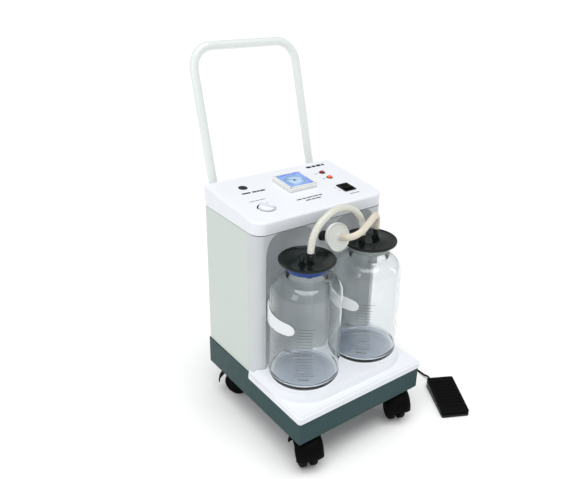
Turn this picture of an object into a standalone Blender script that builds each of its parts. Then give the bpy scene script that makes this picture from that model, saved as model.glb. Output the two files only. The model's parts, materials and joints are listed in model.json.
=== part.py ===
"""Electric suction pump on castors: a sheet-metal base with a moulded tray, a cabinet with the pump inside, two
glass jars with lids and tubes, a push handle and a foot switch on a cord. Metres, +Z up, front towards -Y."""

import math

import bmesh
import bpy
from mathutils import Matrix, Vector

# Driving dimensions, in metres. X is measured from the trolley's middle, Y from its plan datum, Z from the floor.
GAP = 0.0003  # clearance between touching pieces
PLAN_CENTRE = (0.0737, -0.0145)  # middle of the whole plan, foot switch included: it becomes the origin

BASE_HALF = 0.160
BASE_FRONT = -0.200
BASE_REAR = 0.1473
BASE_BOTTOM = 0.075
BASE_TOP = 0.1375
SHEET = 0.002

TRAY_HALF = 0.162
LIP_BOTTOM = 0.1255
TRAY_FLOOR = 0.141
PLATFORM_TOP = 0.157

CABINET_FRONT = -0.0176  # where the side panels end and the front panel begins
PANEL_HALF = 0.1578
PANEL_FACE = -0.049
COVER_BOTTOM = 0.4567
COVER_HALF = 0.160
COVER_FRONT = -0.0505
COVER_FRONT_TOP = 0.484
COVER_REAR_TOP = 0.5012
COVER_SLOPE = math.atan2(COVER_REAR_TOP - COVER_FRONT_TOP, BASE_REAR - COVER_FRONT)
COVER_WALL = 0.003

JAR_X = 0.079
JAR_Y = -0.1011
JAR_RADIUS = 0.0713
JAR_WALL = 0.0035
JAR_BOTTOM = PLATFORM_TOP + 0.0005
JAR_SHOULDER = 0.345
NECK_RADIUS = 0.0405
JAR_MOUTH = 0.4045
RECESS_RADIUS = 0.0785

LID_TOP = 0.4176
LID_UNDER = 0.4056
LID_CEILING = LID_UNDER + 0.006
LID_RADIUS = 0.0559
PORT_RADIUS = 0.0045
TUBE_RADIUS = 0.0068
TUBE_BORE = 0.0050

CLIP_MIDDLE = 0.296
CLIP_HEIGHT = 0.030
CLIP_OPENING = 53.0  # degrees each side of the front

HANDLE_HALF = 0.1245
HANDLE_TOP = 0.7541
HANDLE_RADIUS = 0.009
HANDLE_BEND = 0.046
HANDLE_LEAN = math.radians(15.75)
HANDLE_STAND = 0.1613  # y of the upright stretch behind the cabinet
HANDLE_FOOT = 0.372

CASTOR_X = 0.122
CASTOR_FRONT = -0.166
CASTOR_REAR = 0.112
WHEEL_RADIUS = 0.028
WHEEL_WIDTH = 0.015
CASTOR_TRAIL = 0.016
HOOD_RADIUS = 0.036

NOZZLE_ROOT = Vector((-0.003, -0.049, 0.4245))
FILTER_AXIS = Vector((0.0, -0.952, 0.306)).normalized()
FILTER_REACH = 0.049  # from the nozzle's root to the middle of the filter
FILTER_RADIUS = 0.0285

SWITCH_PLACE = Vector((0.2548, -0.2157, 0.0))
SWITCH_TURN = math.radians(-28)
SWITCH_HALF = 0.032
SWITCH_LENGTH = 0.118
SWITCH_REAR = 0.0225
SWITCH_FRONT = 0.013
GLAND_X = -0.020

CORD_RADIUS = 0.00225
COIL_PLACE = (0.160, 0.236)
COIL_RADIUS = 0.0275
COIL_SECTION = 0.0135
JACK_PLACE = (0.118, 0.1463, 0.172)

WHITE = (0.86, 0.87, 0.89)
PAINT = (0.80, 0.82, 0.78)
GREEN_GREY = (0.10, 0.20, 0.20)
BLACK = (0.015, 0.015, 0.016)
GREY = (0.45, 0.46, 0.47)


def clear_scene():
    for old in list(bpy.data.objects):
        bpy.data.objects.remove(old, do_unlink=True)


def material(name, colour, roughness=0.4, metallic=0.0, alpha=1.0):
    made = bpy.data.materials.get(name) or bpy.data.materials.new(name)
    made.use_nodes = True
    shader = made.node_tree.nodes["Principled BSDF"]
    shader.inputs["Base Color"].default_value = (*colour, 1.0)
    shader.inputs["Roughness"].default_value = roughness
    shader.inputs["Metallic"].default_value = metallic
    shader.inputs["Alpha"].default_value = alpha
    return made


def link(obj, finish, parent):
    bpy.context.scene.collection.objects.link(obj)
    obj.parent = parent
    if finish:
        obj.data.materials.append(finish)
    return obj


def from_bmesh(name, bm, finish, parent, at=(0, 0, 0), turn=None, smooth=None):
    """A mesh object from bm, facing out, at a place and with a rotation matrix."""
    bmesh.ops.recalc_face_normals(bm, faces=bm.faces)
    mesh = bpy.data.meshes.new(name)
    bm.to_mesh(mesh)
    bm.free()
    if smooth:
        mesh.shade_smooth()
        mesh.set_sharp_from_angle(angle=math.radians(smooth))
    obj = link(bpy.data.objects.new(name, mesh), finish, parent)
    obj.matrix_basis = Matrix.Translation(at) @ (turn or Matrix.Identity(4))
    return obj


def arc(cx, cy, radius, start, end, steps):
    """Points on an arc, angles in degrees."""
    turns = [math.radians(start + (end - start) * i / steps) for i in range(steps + 1)]
    return [(cx + radius * math.cos(a), cy + radius * math.sin(a)) for a in turns]


def rounded_rectangle(x0, x1, y0, y1, front, rear, steps=5):
    """A counter-clockwise outline with one radius for the front corners and one for the rear ones."""
    return (
        arc(x0 + front, y0 + front, front, 180, 270, steps)
        + arc(x1 - front, y0 + front, front, 270, 360, steps)
        + arc(x1 - rear, y1 - rear, rear, 0, 90, steps)
        + arc(x0 + rear, y1 - rear, rear, 90, 180, steps)
    )


def prism_mesh(outline, z0, z1):
    """bmesh of an outline extruded from z0 to z1; either may be a function of (x, y)."""
    low = z0 if callable(z0) else lambda x, y: z0
    high = z1 if callable(z1) else lambda x, y: z1
    bm = bmesh.new()
    bottom = [bm.verts.new((x, y, low(x, y))) for x, y in outline]
    top = [bm.verts.new((x, y, high(x, y))) for x, y in outline]
    bm.faces.new(bottom[::-1])
    bm.faces.new(top)
    for i in range(len(outline)):
        j = (i + 1) % len(outline)
        bm.faces.new((bottom[i], bottom[j], top[j], top[i]))
    return bm


def box_mesh(x0, x1, y0, y1, z0, z1):
    return prism_mesh([(x0, y0), (x1, y0), (x1, y1), (x0, y1)], z0, z1)


def lathe_mesh(profile, segments=32, start=0.0, sweep=360.0):
    """Turns a closed (radius, height) profile about Z. Points at radius 0 lie on the axis."""
    bm = bmesh.new()
    full = sweep >= 360
    count = segments if full else segments + 1
    rings = []
    for radius, height in profile:
        if radius < 1e-9:
            rings.append([bm.verts.new((0, 0, height))] * count)
            continue
        angles = [math.radians(start + sweep * i / segments) for i in range(count)]
        rings.append([bm.verts.new((radius * math.cos(a), radius * math.sin(a), height)) for a in angles])
    for k in range(len(rings)):
        one, other = rings[k], rings[(k + 1) % len(rings)]
        for i in range(segments):
            j = (i + 1) % count
            corners = list(dict.fromkeys((one[i], one[j], other[j], other[i])))
            if len(corners) > 2:
                bm.faces.new(corners)
    if not full:
        bm.faces.new([ring[0] for ring in rings])
        bm.faces.new([ring[-1] for ring in rings][::-1])
    return bm


def turned(name, profile, finish, parent, at=(0, 0, 0), turn=None, segments=32, smooth=35):
    return from_bmesh(name, lathe_mesh(profile, segments), finish, parent, at, turn, smooth)


def cylinder_mesh(radius, z0, z1, segments=24):
    return lathe_mesh([(0, z0), (radius, z0), (radius, z1), (0, z1)], segments)


def smooth_route(points, step):
    """Points every step or so along a smooth curve through the given ones."""
    knots = [Vector(p) for p in points]
    ends = [2 * knots[0] - knots[1]] + knots + [2 * knots[-1] - knots[-2]]
    route = []
    for a, b, c, d in zip(ends, ends[1:], ends[2:], ends[3:]):
        count = max(1, round((c - b).length / step))
        for i in range(count):
            t = i / count
            route.append(
                0.5 * (2 * b + (c - a) * t + (2 * a - 5 * b + 4 * c - d) * t**2 + (3 * b - a - 3 * c + d) * t**3)
            )
    return route + [knots[-1]]


def tube(name, points, radius, finish, parent, resolution=2):
    """A filled tube along a list of points."""
    curve = bpy.data.curves.new(name, "CURVE")
    curve.dimensions = "3D"
    curve.bevel_depth = radius
    curve.bevel_resolution = resolution
    curve.use_fill_caps = True
    spline = curve.splines.new("POLY")
    spline.points.add(len(points) - 1)
    for point, place in zip(spline.points, points):
        point.co = (*place, 1.0)
    return link(bpy.data.objects.new(name, curve), finish, parent)


def hose_mesh(points, outer, inner, sides=12):
    """A hollow hose along a list of points, with flat ring-shaped ends."""
    tangents = [(b - a).normalized() for a, b in zip(points, points[1:])]
    tangents = [tangents[0]] + [(a + b).normalized() for a, b in zip(tangents, tangents[1:])] + [tangents[-1]]
    side = tangents[0].orthogonal().normalized()
    bm = bmesh.new()
    layers = []
    for point, tangent in zip(points, tangents):
        side = (side - side.dot(tangent) * tangent).normalized()
        other = tangent.cross(side)
        around = [math.tau * i / sides for i in range(sides)]
        layers.append([
            [bm.verts.new(point + radius * (math.cos(a) * side + math.sin(a) * other)) for a in around]
            for radius in (outer, inner)
        ])
    for i in range(sides):
        j = (i + 1) % sides
        for k in range(2):
            for one, other in zip(layers, layers[1:]):
                bm.faces.new((one[k][i], one[k][j], other[k][j], other[k][i]))
        for end in (layers[0], layers[-1]):
            bm.faces.new((end[0][i], end[0][j], end[1][j], end[1][i]))
    return bm


def combine(obj, bm, operation, at=None, turn=None):
    """A Boolean modifier on obj with a hidden helper made from bm, in the object's own axes unless a place is given."""
    name = f"{obj.name}_{operation.lower()}_{len(obj.modifiers)}"
    helper = from_bmesh(name, bm, None, obj.parent, at or (0, 0, 0), turn)
    if at is None:
        helper.matrix_basis = obj.matrix_basis.copy()
    helper.hide_render = True
    helper.display_type = "WIRE"
    modifier = obj.modifiers.new(helper.name, "BOOLEAN")
    modifier.operation = operation
    modifier.solver = "EXACT"
    modifier.object = helper
    return obj


def cut(obj, bm, at=None, turn=None):
    return combine(obj, bm, "DIFFERENCE", at, turn)


def add(obj, bm, at=None, turn=None):
    return combine(obj, bm, "UNION", at, turn)


def pointing(direction):
    """The rotation that turns +Z to a direction."""
    return Vector((0, 0, 1)).rotation_difference(Vector(direction)).to_matrix().to_4x4()


# Base and tray


def make_base(frame):
    paint = material("green_grey_paint", GREEN_GREY, 0.45)
    outline = rounded_rectangle(-BASE_HALF, BASE_HALF, BASE_FRONT, BASE_REAR, 0.003, 0.003, 2)
    base = from_bmesh("base_frame", prism_mesh(outline, BASE_BOTTOM, BASE_TOP), paint, frame)
    inner = box_mesh(
        -BASE_HALF + SHEET, BASE_HALF - SHEET, BASE_FRONT + SHEET, BASE_REAR - SHEET, BASE_BOTTOM - 0.01, BASE_TOP - SHEET
    )
    cut(base, inner)
    for x, y in castor_places():
        add(base, box_mesh(x - 0.020, x + 0.020, y - 0.020, y + 0.020, BASE_BOTTOM, BASE_TOP - 0.001))
        cut(base, cylinder_mesh(0.0058, BASE_BOTTOM - 0.01, BASE_BOTTOM + 0.045, 24), (x, y, 0))


def platform_outline(spread):
    """The raised jar platform's outline: an arc round the front of each jar and straight sides back to the panel."""
    reach = JAR_RADIUS + spread
    left = arc(-JAR_X, JAR_Y, reach, 180, 270, 10)
    right = arc(JAR_X, JAR_Y, reach, 270, 360, 10)
    return left + right + [(JAR_X + reach, CABINET_FRONT - 0.003), (-JAR_X - reach, CABINET_FRONT - 0.003)]


def panel_outline(spread=0.0):
    """The front panel's plan: rounded columns at both sides, its face at PANEL_FACE."""
    half = PANEL_HALF + spread
    corner = 0.020
    face = PANEL_FACE - spread
    return (
        arc(-half + corner, face + corner, corner, 180, 270, 6)
        + arc(half - corner, face + corner, corner, 270, 360, 6)
        + [(half, CABINET_FRONT), (-half, CABINET_FRONT)]
    )


def recess_mesh(spread=0.0, top=COVER_BOTTOM - GAP):
    """The space that the panel leaves round one jar, rounded in at its top."""
    radius = RECESS_RADIUS - spread
    lid_way = LID_RADIUS + 0.0018
    bend = [(lid_way + (radius - lid_way) * math.cos(a), 0.405 + (top - 0.405) * math.sin(a))
            for a in [math.radians(15 * i) for i in range(7)]]
    return lathe_mesh([(0, 0.10), (radius, 0.10)] + bend + [(lid_way, top + 0.02), (0, top + 0.02)], 48)


def make_tray(frame):
    white = material("white_moulding", WHITE, 0.3)
    outline = rounded_rectangle(-TRAY_HALF, TRAY_HALF, BASE_FRONT - 0.002, CABINET_FRONT - GAP, 0.006, 0.004, 4)
    bm = prism_mesh(outline, LIP_BOTTOM, TRAY_FLOOR)
    rim = [e for e in bm.edges if min(v.co.z for v in e.verts) > TRAY_FLOOR - 1e-6]
    bmesh.ops.bevel(bm, geom=rim, offset=0.003, segments=3, affect="EDGES")
    tray = from_bmesh("jar_tray", bm, white, frame)
    clear = BASE_HALF + GAP
    cut(tray, box_mesh(-clear, clear, BASE_FRONT - GAP, 0.0, LIP_BOTTOM - 0.01, BASE_TOP + GAP))
    foot = prism_mesh(platform_outline(0.011), TRAY_FLOOR - 0.0015, PLATFORM_TOP)
    top = [v for v in foot.verts if v.co.z > PLATFORM_TOP - 1e-6]
    for vert, (x, y) in zip(top, platform_outline(0.0035)):
        vert.co.x, vert.co.y = x, y
    add(tray, foot)
    wall = from_bmesh("panel_clearance", prism_mesh(panel_outline(GAP), TRAY_FLOOR + 0.0002, 0.2), None, frame)
    for side in (-1, 1):
        cut(wall, recess_mesh(GAP), (side * JAR_X, JAR_Y, 0))
    wall.hide_render = True
    wall.display_type = "WIRE"
    modifier = tray.modifiers.new("panel_clearance", "BOOLEAN")
    modifier.operation = "DIFFERENCE"
    modifier.solver = "EXACT"
    modifier.object = wall


# Cabinet


def make_cabinet(frame):
    white = material("white_moulding", WHITE, 0.3)
    paint = material("cream_paint", PAINT, 0.35)
    panel = from_bmesh("front_panel", prism_mesh(panel_outline(), TRAY_FLOOR + 2 * GAP, COVER_BOTTOM - GAP), white, frame)
    for side in (-1, 1):
        cut(panel, recess_mesh(), (side * JAR_X, JAR_Y, 0))
        inside, outside = sorted((side * 0.1415, side * (PANEL_HALF - 0.003)))
        cut(panel, box_mesh(inside, outside, PANEL_FACE + 0.013, CABINET_FRONT + 0.01, 0.15, 0.448))
    cut(panel, box_mesh(-0.0125, 0.0125, PANEL_FACE + 0.004, CABINET_FRONT + 0.01, 0.15, 0.448))
    cut(panel, cylinder_mesh(0.0088, -0.03, 0.03, 20), NOZZLE_ROOT, pointing(FILTER_AXIS))

    for name, side in (("left", -1), ("right", 1)):
        inside, outside = sorted((side * (PANEL_HALF - SHEET), side * PANEL_HALF))
        sheet = box_mesh(inside, outside, CABINET_FRONT + GAP, BASE_REAR - 0.004, BASE_TOP + GAP, COVER_BOTTOM - GAP)
        from_bmesh(f"side_panel_{name}", sheet, paint, frame)

    rear_half = PANEL_HALF - SHEET - GAP
    back = box_mesh(-rear_half, rear_half, BASE_REAR - 0.003, BASE_REAR - 0.001, BASE_TOP + GAP, COVER_BOTTOM - GAP)
    rear = from_bmesh("rear_panel", back, paint, frame)
    cut(rear, box_mesh(-0.1303, -0.1017, 0.13, 0.16, 0.1637, 0.1873))
    cut(rear, cylinder_mesh(0.0065, -0.02, 0.02, 16), JACK_PLACE, pointing((0, 1, 0)))
    for row in range(5):
        height = 0.30 + row * 0.014
        cut(rear, box_mesh(-0.055, 0.055, 0.13, 0.16, height, height + 0.005))


def cover_top(x, y):
    return COVER_FRONT_TOP + (y - COVER_FRONT) * math.tan(COVER_SLOPE)


def face_place(x, y, lift=0.0):
    """A point on, or lift above, the sloping control face."""
    normal = Vector((0, -math.sin(COVER_SLOPE), math.cos(COVER_SLOPE)))
    return Vector((x, y, cover_top(x, y))) + lift * normal


def face_turn():
    return Matrix.Rotation(COVER_SLOPE, 4, "X")


def make_cover(frame):
    white = material("white_moulding", WHITE, 0.3)
    outline = rounded_rectangle(-COVER_HALF, COVER_HALF, COVER_FRONT, BASE_REAR, 0.026, 0.006, 6)
    bm = prism_mesh(outline, COVER_BOTTOM, cover_top)
    rim = [e for e in bm.edges if min(v.co.z for v in e.verts) > COVER_BOTTOM + 0.01]
    bmesh.ops.bevel(bm, geom=rim, offset=0.005, segments=3, affect="EDGES")
    cover = from_bmesh("top_cover", bm, white, frame, smooth=40)
    inset = COVER_WALL
    inner = rounded_rectangle(
        -COVER_HALF + inset, COVER_HALF - inset, COVER_FRONT + inset, BASE_REAR - inset, 0.023, 0.004, 6
    )
    cut(cover, prism_mesh(inner, COVER_BOTTOM - 0.01, lambda x, y: cover_top(x, y) - COVER_WALL))
    turn = face_turn()
    cut(cover, cylinder_mesh(0.0262, -0.02, 0.02, 24), face_place(*GAUGE_PLACE), turn)
    cut(cover, cylinder_mesh(0.0045, -0.02, 0.02, 16), face_place(*KNOB_PLACE), turn)
    cut(cover, box_mesh(-0.0133, 0.0133, -0.0153, 0.0153, -0.02, 0.02), face_place(*SWITCH_FACE), turn)
    for place in LAMP_PLACES.values():
        cut(cover, cylinder_mesh(0.0042, -0.02, 0.02, 16), face_place(*place), turn)


# Controls on the sloping face

GAUGE_PLACE = (0.011, 0.0695)
KNOB_PLACE = (-0.102, 0.002)
SWITCH_FACE = (0.0995, 0.0063)
LAMP_PLACES = {"red": (0.100, 0.0905), "orange": (0.0996, 0.063)}
GAUGE_HALF = 0.0345


def make_gauge(frame):
    turn = face_turn()
    place = face_place(*GAUGE_PLACE)
    white = material("gauge_white", (0.85, 0.85, 0.83), 0.35)
    bezel = rounded_rectangle(-GAUGE_HALF, GAUGE_HALF, -GAUGE_HALF, GAUGE_HALF, 0.003, 0.003, 3)
    body = from_bmesh("gauge_body", prism_mesh(bezel, GAP, 0.0078), white, frame, place, turn)
    add(body, cylinder_mesh(0.0258, -0.022, 0.004, 24))
    cut(body, box_mesh(-0.0302, 0.0302, -0.0302, 0.0302, 0.0018, 0.02))
    cut(body, cylinder_mesh(0.0022, -0.03, 0.01, 12))
    blue = material("dial_blue", (0.12, 0.35, 0.75), 0.4)
    dial = box_mesh(-0.0298, 0.0298, -0.0298, 0.0298, 0.0018 + GAP, 0.0032)
    plate = from_bmesh("gauge_dial", dial, blue, frame, place, turn)
    cut(plate, cylinder_mesh(0.0019, -0.01, 0.02, 12))
    black = material("black_plastic", BLACK, 0.4)
    needle = prism_mesh([(-0.0007, -0.006), (0.0007, -0.006), (0.0004, 0.019), (-0.0004, 0.019)], 0.0037, 0.0043)
    hand = from_bmesh("gauge_needle", needle, black, frame, place, turn @ Matrix.Rotation(math.radians(60), 4, "Z"))
    add(hand, cylinder_mesh(0.0026, 0.0036, 0.0047, 16))
    add(hand, cylinder_mesh(0.0013, -0.010, 0.004, 12))
    clear = material("clear_plastic", (0.9, 0.95, 1.0), 0.05, alpha=0.3)
    window = box_mesh(-0.0299, 0.0299, -0.0299, 0.0299, 0.0056, 0.0073)
    from_bmesh("gauge_window", window, clear, frame, place, turn)


def make_knob(frame):
    turn = face_turn()
    place = face_place(*KNOB_PLACE)
    white = material("white_moulding", WHITE, 0.3)
    brass = material("brass", (0.6, 0.45, 0.2), 0.35, 1.0)
    skirt = [(0, 0.0006), (0.0160, 0.0006), (0.0160, 0.003), (0.0145, 0.0042), (0, 0.0042)]
    knob = turned("vacuum_knob", skirt, white, frame, place, turn @ Matrix.Rotation(math.radians(-150), 4, "Z"), 32)
    grip = prism_mesh(rounded_rectangle(-0.0035, 0.0035, -0.0145, 0.0145, 0.003, 0.003, 4), 0.003, 0.0155)
    add(knob, grip)
    add(knob, cylinder_mesh(0.0030, -0.018, 0.001, 16))
    body = [(0.0033, -0.028), (0.011, -0.028), (0.011, -0.0035), (0.0033, -0.0035)]
    turned("vacuum_valve", body, brass, frame, place, turn, 24)


def make_switch(frame):
    turn = face_turn()
    place = face_place(*SWITCH_FACE)
    black = material("black_plastic", BLACK, 0.4)
    bezel = rounded_rectangle(-0.0148, 0.0148, -0.0168, 0.0168, 0.0015, 0.0015, 2)
    body = from_bmesh("power_switch_body", prism_mesh(bezel, GAP, 0.002), black, frame, place, turn)
    add(body, box_mesh(-0.013, 0.013, -0.015, 0.015, -0.022, 0.001))
    cut(body, box_mesh(-0.0105, 0.0105, -0.0128, 0.0128, -0.0165, 0.01))
    rocker = [(-0.0122, -0.001), (0.0122, -0.001), (0.0122, 0.0030), (0.0, 0.0018), (-0.0122, 0.0030)]
    bm = bmesh.new()
    near = [bm.verts.new((-0.0102, y, z)) for y, z in rocker]
    far = [bm.verts.new((0.0102, y, z)) for y, z in rocker]
    bm.faces.new(near)
    bm.faces.new(far[::-1])
    for i in range(len(rocker)):
        j = (i + 1) % len(rocker)
        bm.faces.new((near[i], far[i], far[j], near[j]))
    pivot = place + (turn @ Vector((0, 0, -0.002)))
    tilt = Matrix.Rotation(COVER_SLOPE + math.radians(-9), 4, "X")
    from_bmesh("power_switch_rocker", bm, black, frame, pivot, tilt)


def make_lamps(frame):
    colours = {"red": (0.35, 0.02, 0.02), "orange": (0.75, 0.12, 0.02)}
    for name, place in LAMP_PLACES.items():
        lens = [(0, -0.014), (0.0039, -0.014), (0.0039, GAP), (0.0058, GAP), (0.0058, 0.0016), (0.0048, 0.0030),
                (0.0030, 0.0042), (0, 0.0046)]
        turned(f"lamp_{name}", lens, material(f"lamp_{name}", colours[name], 0.2), frame, face_place(*place), face_turn(), 16)


# Jars, lids and tubes

LID_PORTS = {"left": ((-0.0228, -0.0138), (-0.0066, -0.0180)), "right": ((-0.0255, -0.0040), (0.0145, 0.0))}


def jar_profile():
    """Outside from the bottom up, then inside from the mouth down."""
    wall = JAR_WALL
    shoulder = JAR_MOUTH - 0.0245
    drop = shoulder - JAR_SHOULDER
    outside = [(0, JAR_BOTTOM + 0.003), (0.048, JAR_BOTTOM + 0.003), (0.056, JAR_BOTTOM)]
    outside += arc(JAR_RADIUS - 0.009, JAR_BOTTOM + 0.009, 0.009, -90, 0, 2)
    outside += [(JAR_RADIUS, JAR_SHOULDER)]
    steps = [math.radians(a) for a in (30, 58, 90)]
    outside += [
        (NECK_RADIUS + (JAR_RADIUS - NECK_RADIUS) * math.cos(a), JAR_SHOULDER + drop * math.sin(a)) for a in steps
    ]
    outside += [(NECK_RADIUS, JAR_MOUTH - 0.008), (NECK_RADIUS + 0.003, JAR_MOUTH - 0.006)]
    outside += [(NECK_RADIUS + 0.003, JAR_MOUTH - 0.001), (NECK_RADIUS + 0.002, JAR_MOUTH)]
    inner = JAR_RADIUS - wall
    throat = NECK_RADIUS - wall
    inside = [(throat + 0.001, JAR_MOUTH), (throat, JAR_MOUTH - 0.002), (throat, shoulder - wall)]
    inside += [
        (throat + (inner - throat) * math.cos(a), JAR_SHOULDER - wall + drop * math.sin(a)) for a in steps[-2::-1]
    ]
    inside += [(inner, JAR_SHOULDER - wall), (inner, JAR_BOTTOM + 0.016), (inner - 0.009, JAR_BOTTOM + 0.008)]
    return outside + inside + [(0, JAR_BOTTOM + 0.009)]


def make_jars(frame):
    glass = material("jar_glass", (0.85, 0.9, 0.9), 0.02, alpha=0.35)
    white = material("clip_white", WHITE, 0.35)
    for name, side in (("left", -1), ("right", 1)):
        place = (side * JAR_X, JAR_Y, 0)
        turned(f"jar_{name}", jar_profile(), glass, frame, place, segments=28)
        make_clip(name, place, white, frame)


def make_clip(name, place, finish, frame):
    """The springy band that holds a jar against the panel, open to the front, with rounded ends."""
    inner, outer = JAR_RADIUS + 0.0006, JAR_RADIUS + 0.0034
    half = CLIP_HEIGHT / 2
    start, sweep = -90 + CLIP_OPENING, 360 - 2 * CLIP_OPENING
    count = 40
    taper = math.degrees(half / JAR_RADIUS)
    bm = bmesh.new()
    rings = []
    for i in range(count + 1):
        turn = sweep * i / count
        rings.append(turn)
    rings = sorted(set(rings + [0.05 * taper, 0.3 * taper, sweep - 0.3 * taper, sweep - 0.05 * taper]))
    loops = []
    for turn in rings:
        edge = min(turn, sweep - turn) / taper
        height = half * math.sqrt(max(0.0, 1 - max(0.0, 1 - edge) ** 2))
        height = max(height, 0.0018)
        a = math.radians(start + turn)
        corners = ((inner, -height), (outer, -height), (outer, height), (inner, height))
        loops.append([bm.verts.new((r * math.cos(a), r * math.sin(a), CLIP_MIDDLE + z)) for r, z in corners])
    for one, other in zip(loops, loops[1:]):
        for i in range(4):
            j = (i + 1) % 4
            bm.faces.new((one[i], one[j], other[j], other[i]))
    bm.faces.new(loops[0])
    bm.faces.new(loops[-1][::-1])
    from_bmesh(f"jar_clip_{name}", bm, finish, frame, place, smooth=40)


def make_lids(frame):
    black = material("black_plastic", BLACK, 0.4)
    seals = {"left": material("seal_blue", (0.02, 0.12, 0.6), 0.4), "right": material("seal_clear", (0.6, 0.63, 0.6), 0.3)}
    rim = LID_RADIUS
    lid = [(0, LID_UNDER - 0.015), (0.028, LID_UNDER - 0.015), (0.029, LID_UNDER), (0.043, LID_UNDER),
           (rim - 0.001, LID_UNDER + 0.0058), (rim, LID_UNDER + 0.0075), (rim, LID_TOP - 0.0018),
           (rim - 0.0018, LID_TOP), (rim - 0.005, LID_TOP), (rim - 0.006, LID_TOP - 0.0014), (0, LID_TOP - 0.0014)]
    lid = [(0, LID_CEILING), (0.026, LID_CEILING), (0.026, LID_UNDER - 0.015)] + lid[1:]
    for name, side in (("left", -1), ("right", 1)):
        place = Vector((side * JAR_X, JAR_Y, 0))
        piece = turned(f"lid_{name}", lid, black, frame, place, segments=28)
        # A flat at the back lets the lid rise past the cover
        cut(piece, box_mesh(-0.04, 0.04, 0.0498, 0.08, 0.39, 0.43))
        for x, y in LID_PORTS[name]:
            spot = place + Vector((x, y, 0))
            add(piece, lathe_mesh(port_profile(), 12), spot)
            if (x, y) == LID_PORTS["left"][1]:
                add(piece, cylinder_mesh(0.0050, LID_UNDER - 0.050, LID_CEILING + 0.001, 12), place + Vector((x, y, 0)))
            cut(piece, cylinder_mesh(0.0024, LID_UNDER - 0.06, LID_TOP + 0.05, 8), spot)
        ring = [(0.0293, LID_UNDER - GAP), (0.0293, LID_UNDER - 0.0125), (0.0335, LID_UNDER - 0.0125),
                (0.0362, LID_UNDER - 0.0035), (0.0362, LID_UNDER - 0.0012), (0.0395, LID_UNDER - 0.0008),
                (0.0395, LID_UNDER - GAP)]
        turned(f"lid_seal_{name}", ring[::-1], seals[name], frame, place, segments=28)
    make_float_valve(frame, material("clear_plastic", (0.9, 0.95, 1.0), 0.05, alpha=0.3))


def port_profile():
    top = LID_TOP + 0.021
    return [(0, LID_TOP - 0.004), (PORT_RADIUS + 0.002, LID_TOP - 0.004), (PORT_RADIUS + 0.002, LID_TOP + 0.0005),
            (PORT_RADIUS, LID_TOP + 0.0015), (PORT_RADIUS, top - 0.004), (PORT_RADIUS - 0.0012, top), (0, top)]


def make_float_valve(frame, finish):
    """The overflow valve under the right lid: a cage and the float in it."""
    under = LID_UNDER - 0.015
    ceiling = LID_CEILING - GAP
    x, y = LID_PORTS["right"][1]
    spot = (x + JAR_X, JAR_Y + y, 0)
    cage = [(0.0090, ceiling), (0.0090, under - 0.034), (0.0066, under - 0.034), (0.0066, under - 0.036),
            (0.0108, under - 0.036), (0.0108, ceiling)]
    turned("overflow_cage", cage, finish, frame, spot, segments=20)
    pale = material("float_white", (0.8, 0.8, 0.76), 0.5)
    ball = [(0, under - 0.0337), (0.0055, under - 0.0337), (0.0083, under - 0.030), (0.0083, under - 0.016),
            (0.0030, under - 0.011), (0, under - 0.011)]
    turned("overflow_float", ball, pale, frame, spot, segments=20)


JUMPER_POINTS = [
    (-0.0856, -0.1191, 0.4222), (-0.0856, -0.1191, 0.4410), (-0.0800, -0.1175, 0.4660), (-0.0655, -0.1150, 0.4860),
    (-0.0430, -0.1120, 0.5000), (-0.0180, -0.1090, 0.5060), (0.0080, -0.1070, 0.5030), (0.0305, -0.1055, 0.4900),
    (0.0460, -0.1052, 0.4710), (0.0530, -0.1051, 0.4530), (0.0535, -0.1051, 0.4410), (0.0535, -0.1051, 0.4222),
]
FILTER_TUBE_POINTS = [
    (-0.0030, -0.10835, 0.44346), (-0.0030, -0.1155, 0.44576), (-0.0012, -0.1265, 0.4500), (0.0080, -0.1345, 0.4545),
    (0.0240, -0.1350, 0.4595), (0.0430, -0.1275, 0.4640), (0.0640, -0.1180, 0.4690), (0.0820, -0.1085, 0.4700),
    (0.0920, -0.1030, 0.4600), (0.0935, -0.1011, 0.4430), (0.0935, -0.1011, 0.4222),
]


def make_tubes(frame):
    silicone = material("silicone", (0.75, 0.72, 0.60), 0.3, alpha=0.7)
    for name, points, step in (("jumper_tube", JUMPER_POINTS, 0.012), ("filter_tube", FILTER_TUBE_POINTS, 0.009)):
        hose = hose_mesh(smooth_route(points, step), TUBE_RADIUS, TUBE_BORE)
        from_bmesh(name, hose, silicone, frame, smooth=50)


def make_filter(frame):
    """The bacterial filter: two moulded halves, plugged against the panel's nozzle."""
    clear = material("filter_plastic", (0.85, 0.86, 0.84), 0.25)
    centre = NOZZLE_ROOT + FILTER_REACH * FILTER_AXIS
    turn = pointing(FILTER_AXIS)
    r = FILTER_RADIUS
    front = [(0.0030, 0.0012), (r - 0.0035, 0.0012), (r - 0.0035, GAP), (r, GAP), (r, 0.0030), (r - 0.004, 0.0040),
             (0.010, 0.0078), (0.0062, 0.0090), (0.0062, 0.0130), (0.0030, 0.0130)]
    back = [(radius, -height) for radius, height in front[::-1]]
    back[:2] = [(0.0030, -0.0160), (0.0062, -0.0160)]
    turned("filter_front", front, clear, frame, centre, turn, 24)
    turned("filter_back", back, clear, frame, centre, turn, 24)


def make_nozzle(frame):
    rubber = material("black_rubber", BLACK, 0.6)
    end = FILTER_REACH - 0.0160 - GAP
    nozzle = [(0.0032, -0.022), (0.0085, -0.022), (0.0085, 0.004), (0.0085, 0.006), (0.0070, 0.010), (0.0070, end),
              (0.0032, end)]
    turned("panel_nozzle", nozzle, rubber, frame, NOZZLE_ROOT, pointing(FILTER_AXIS), 20)


# Push handle


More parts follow.
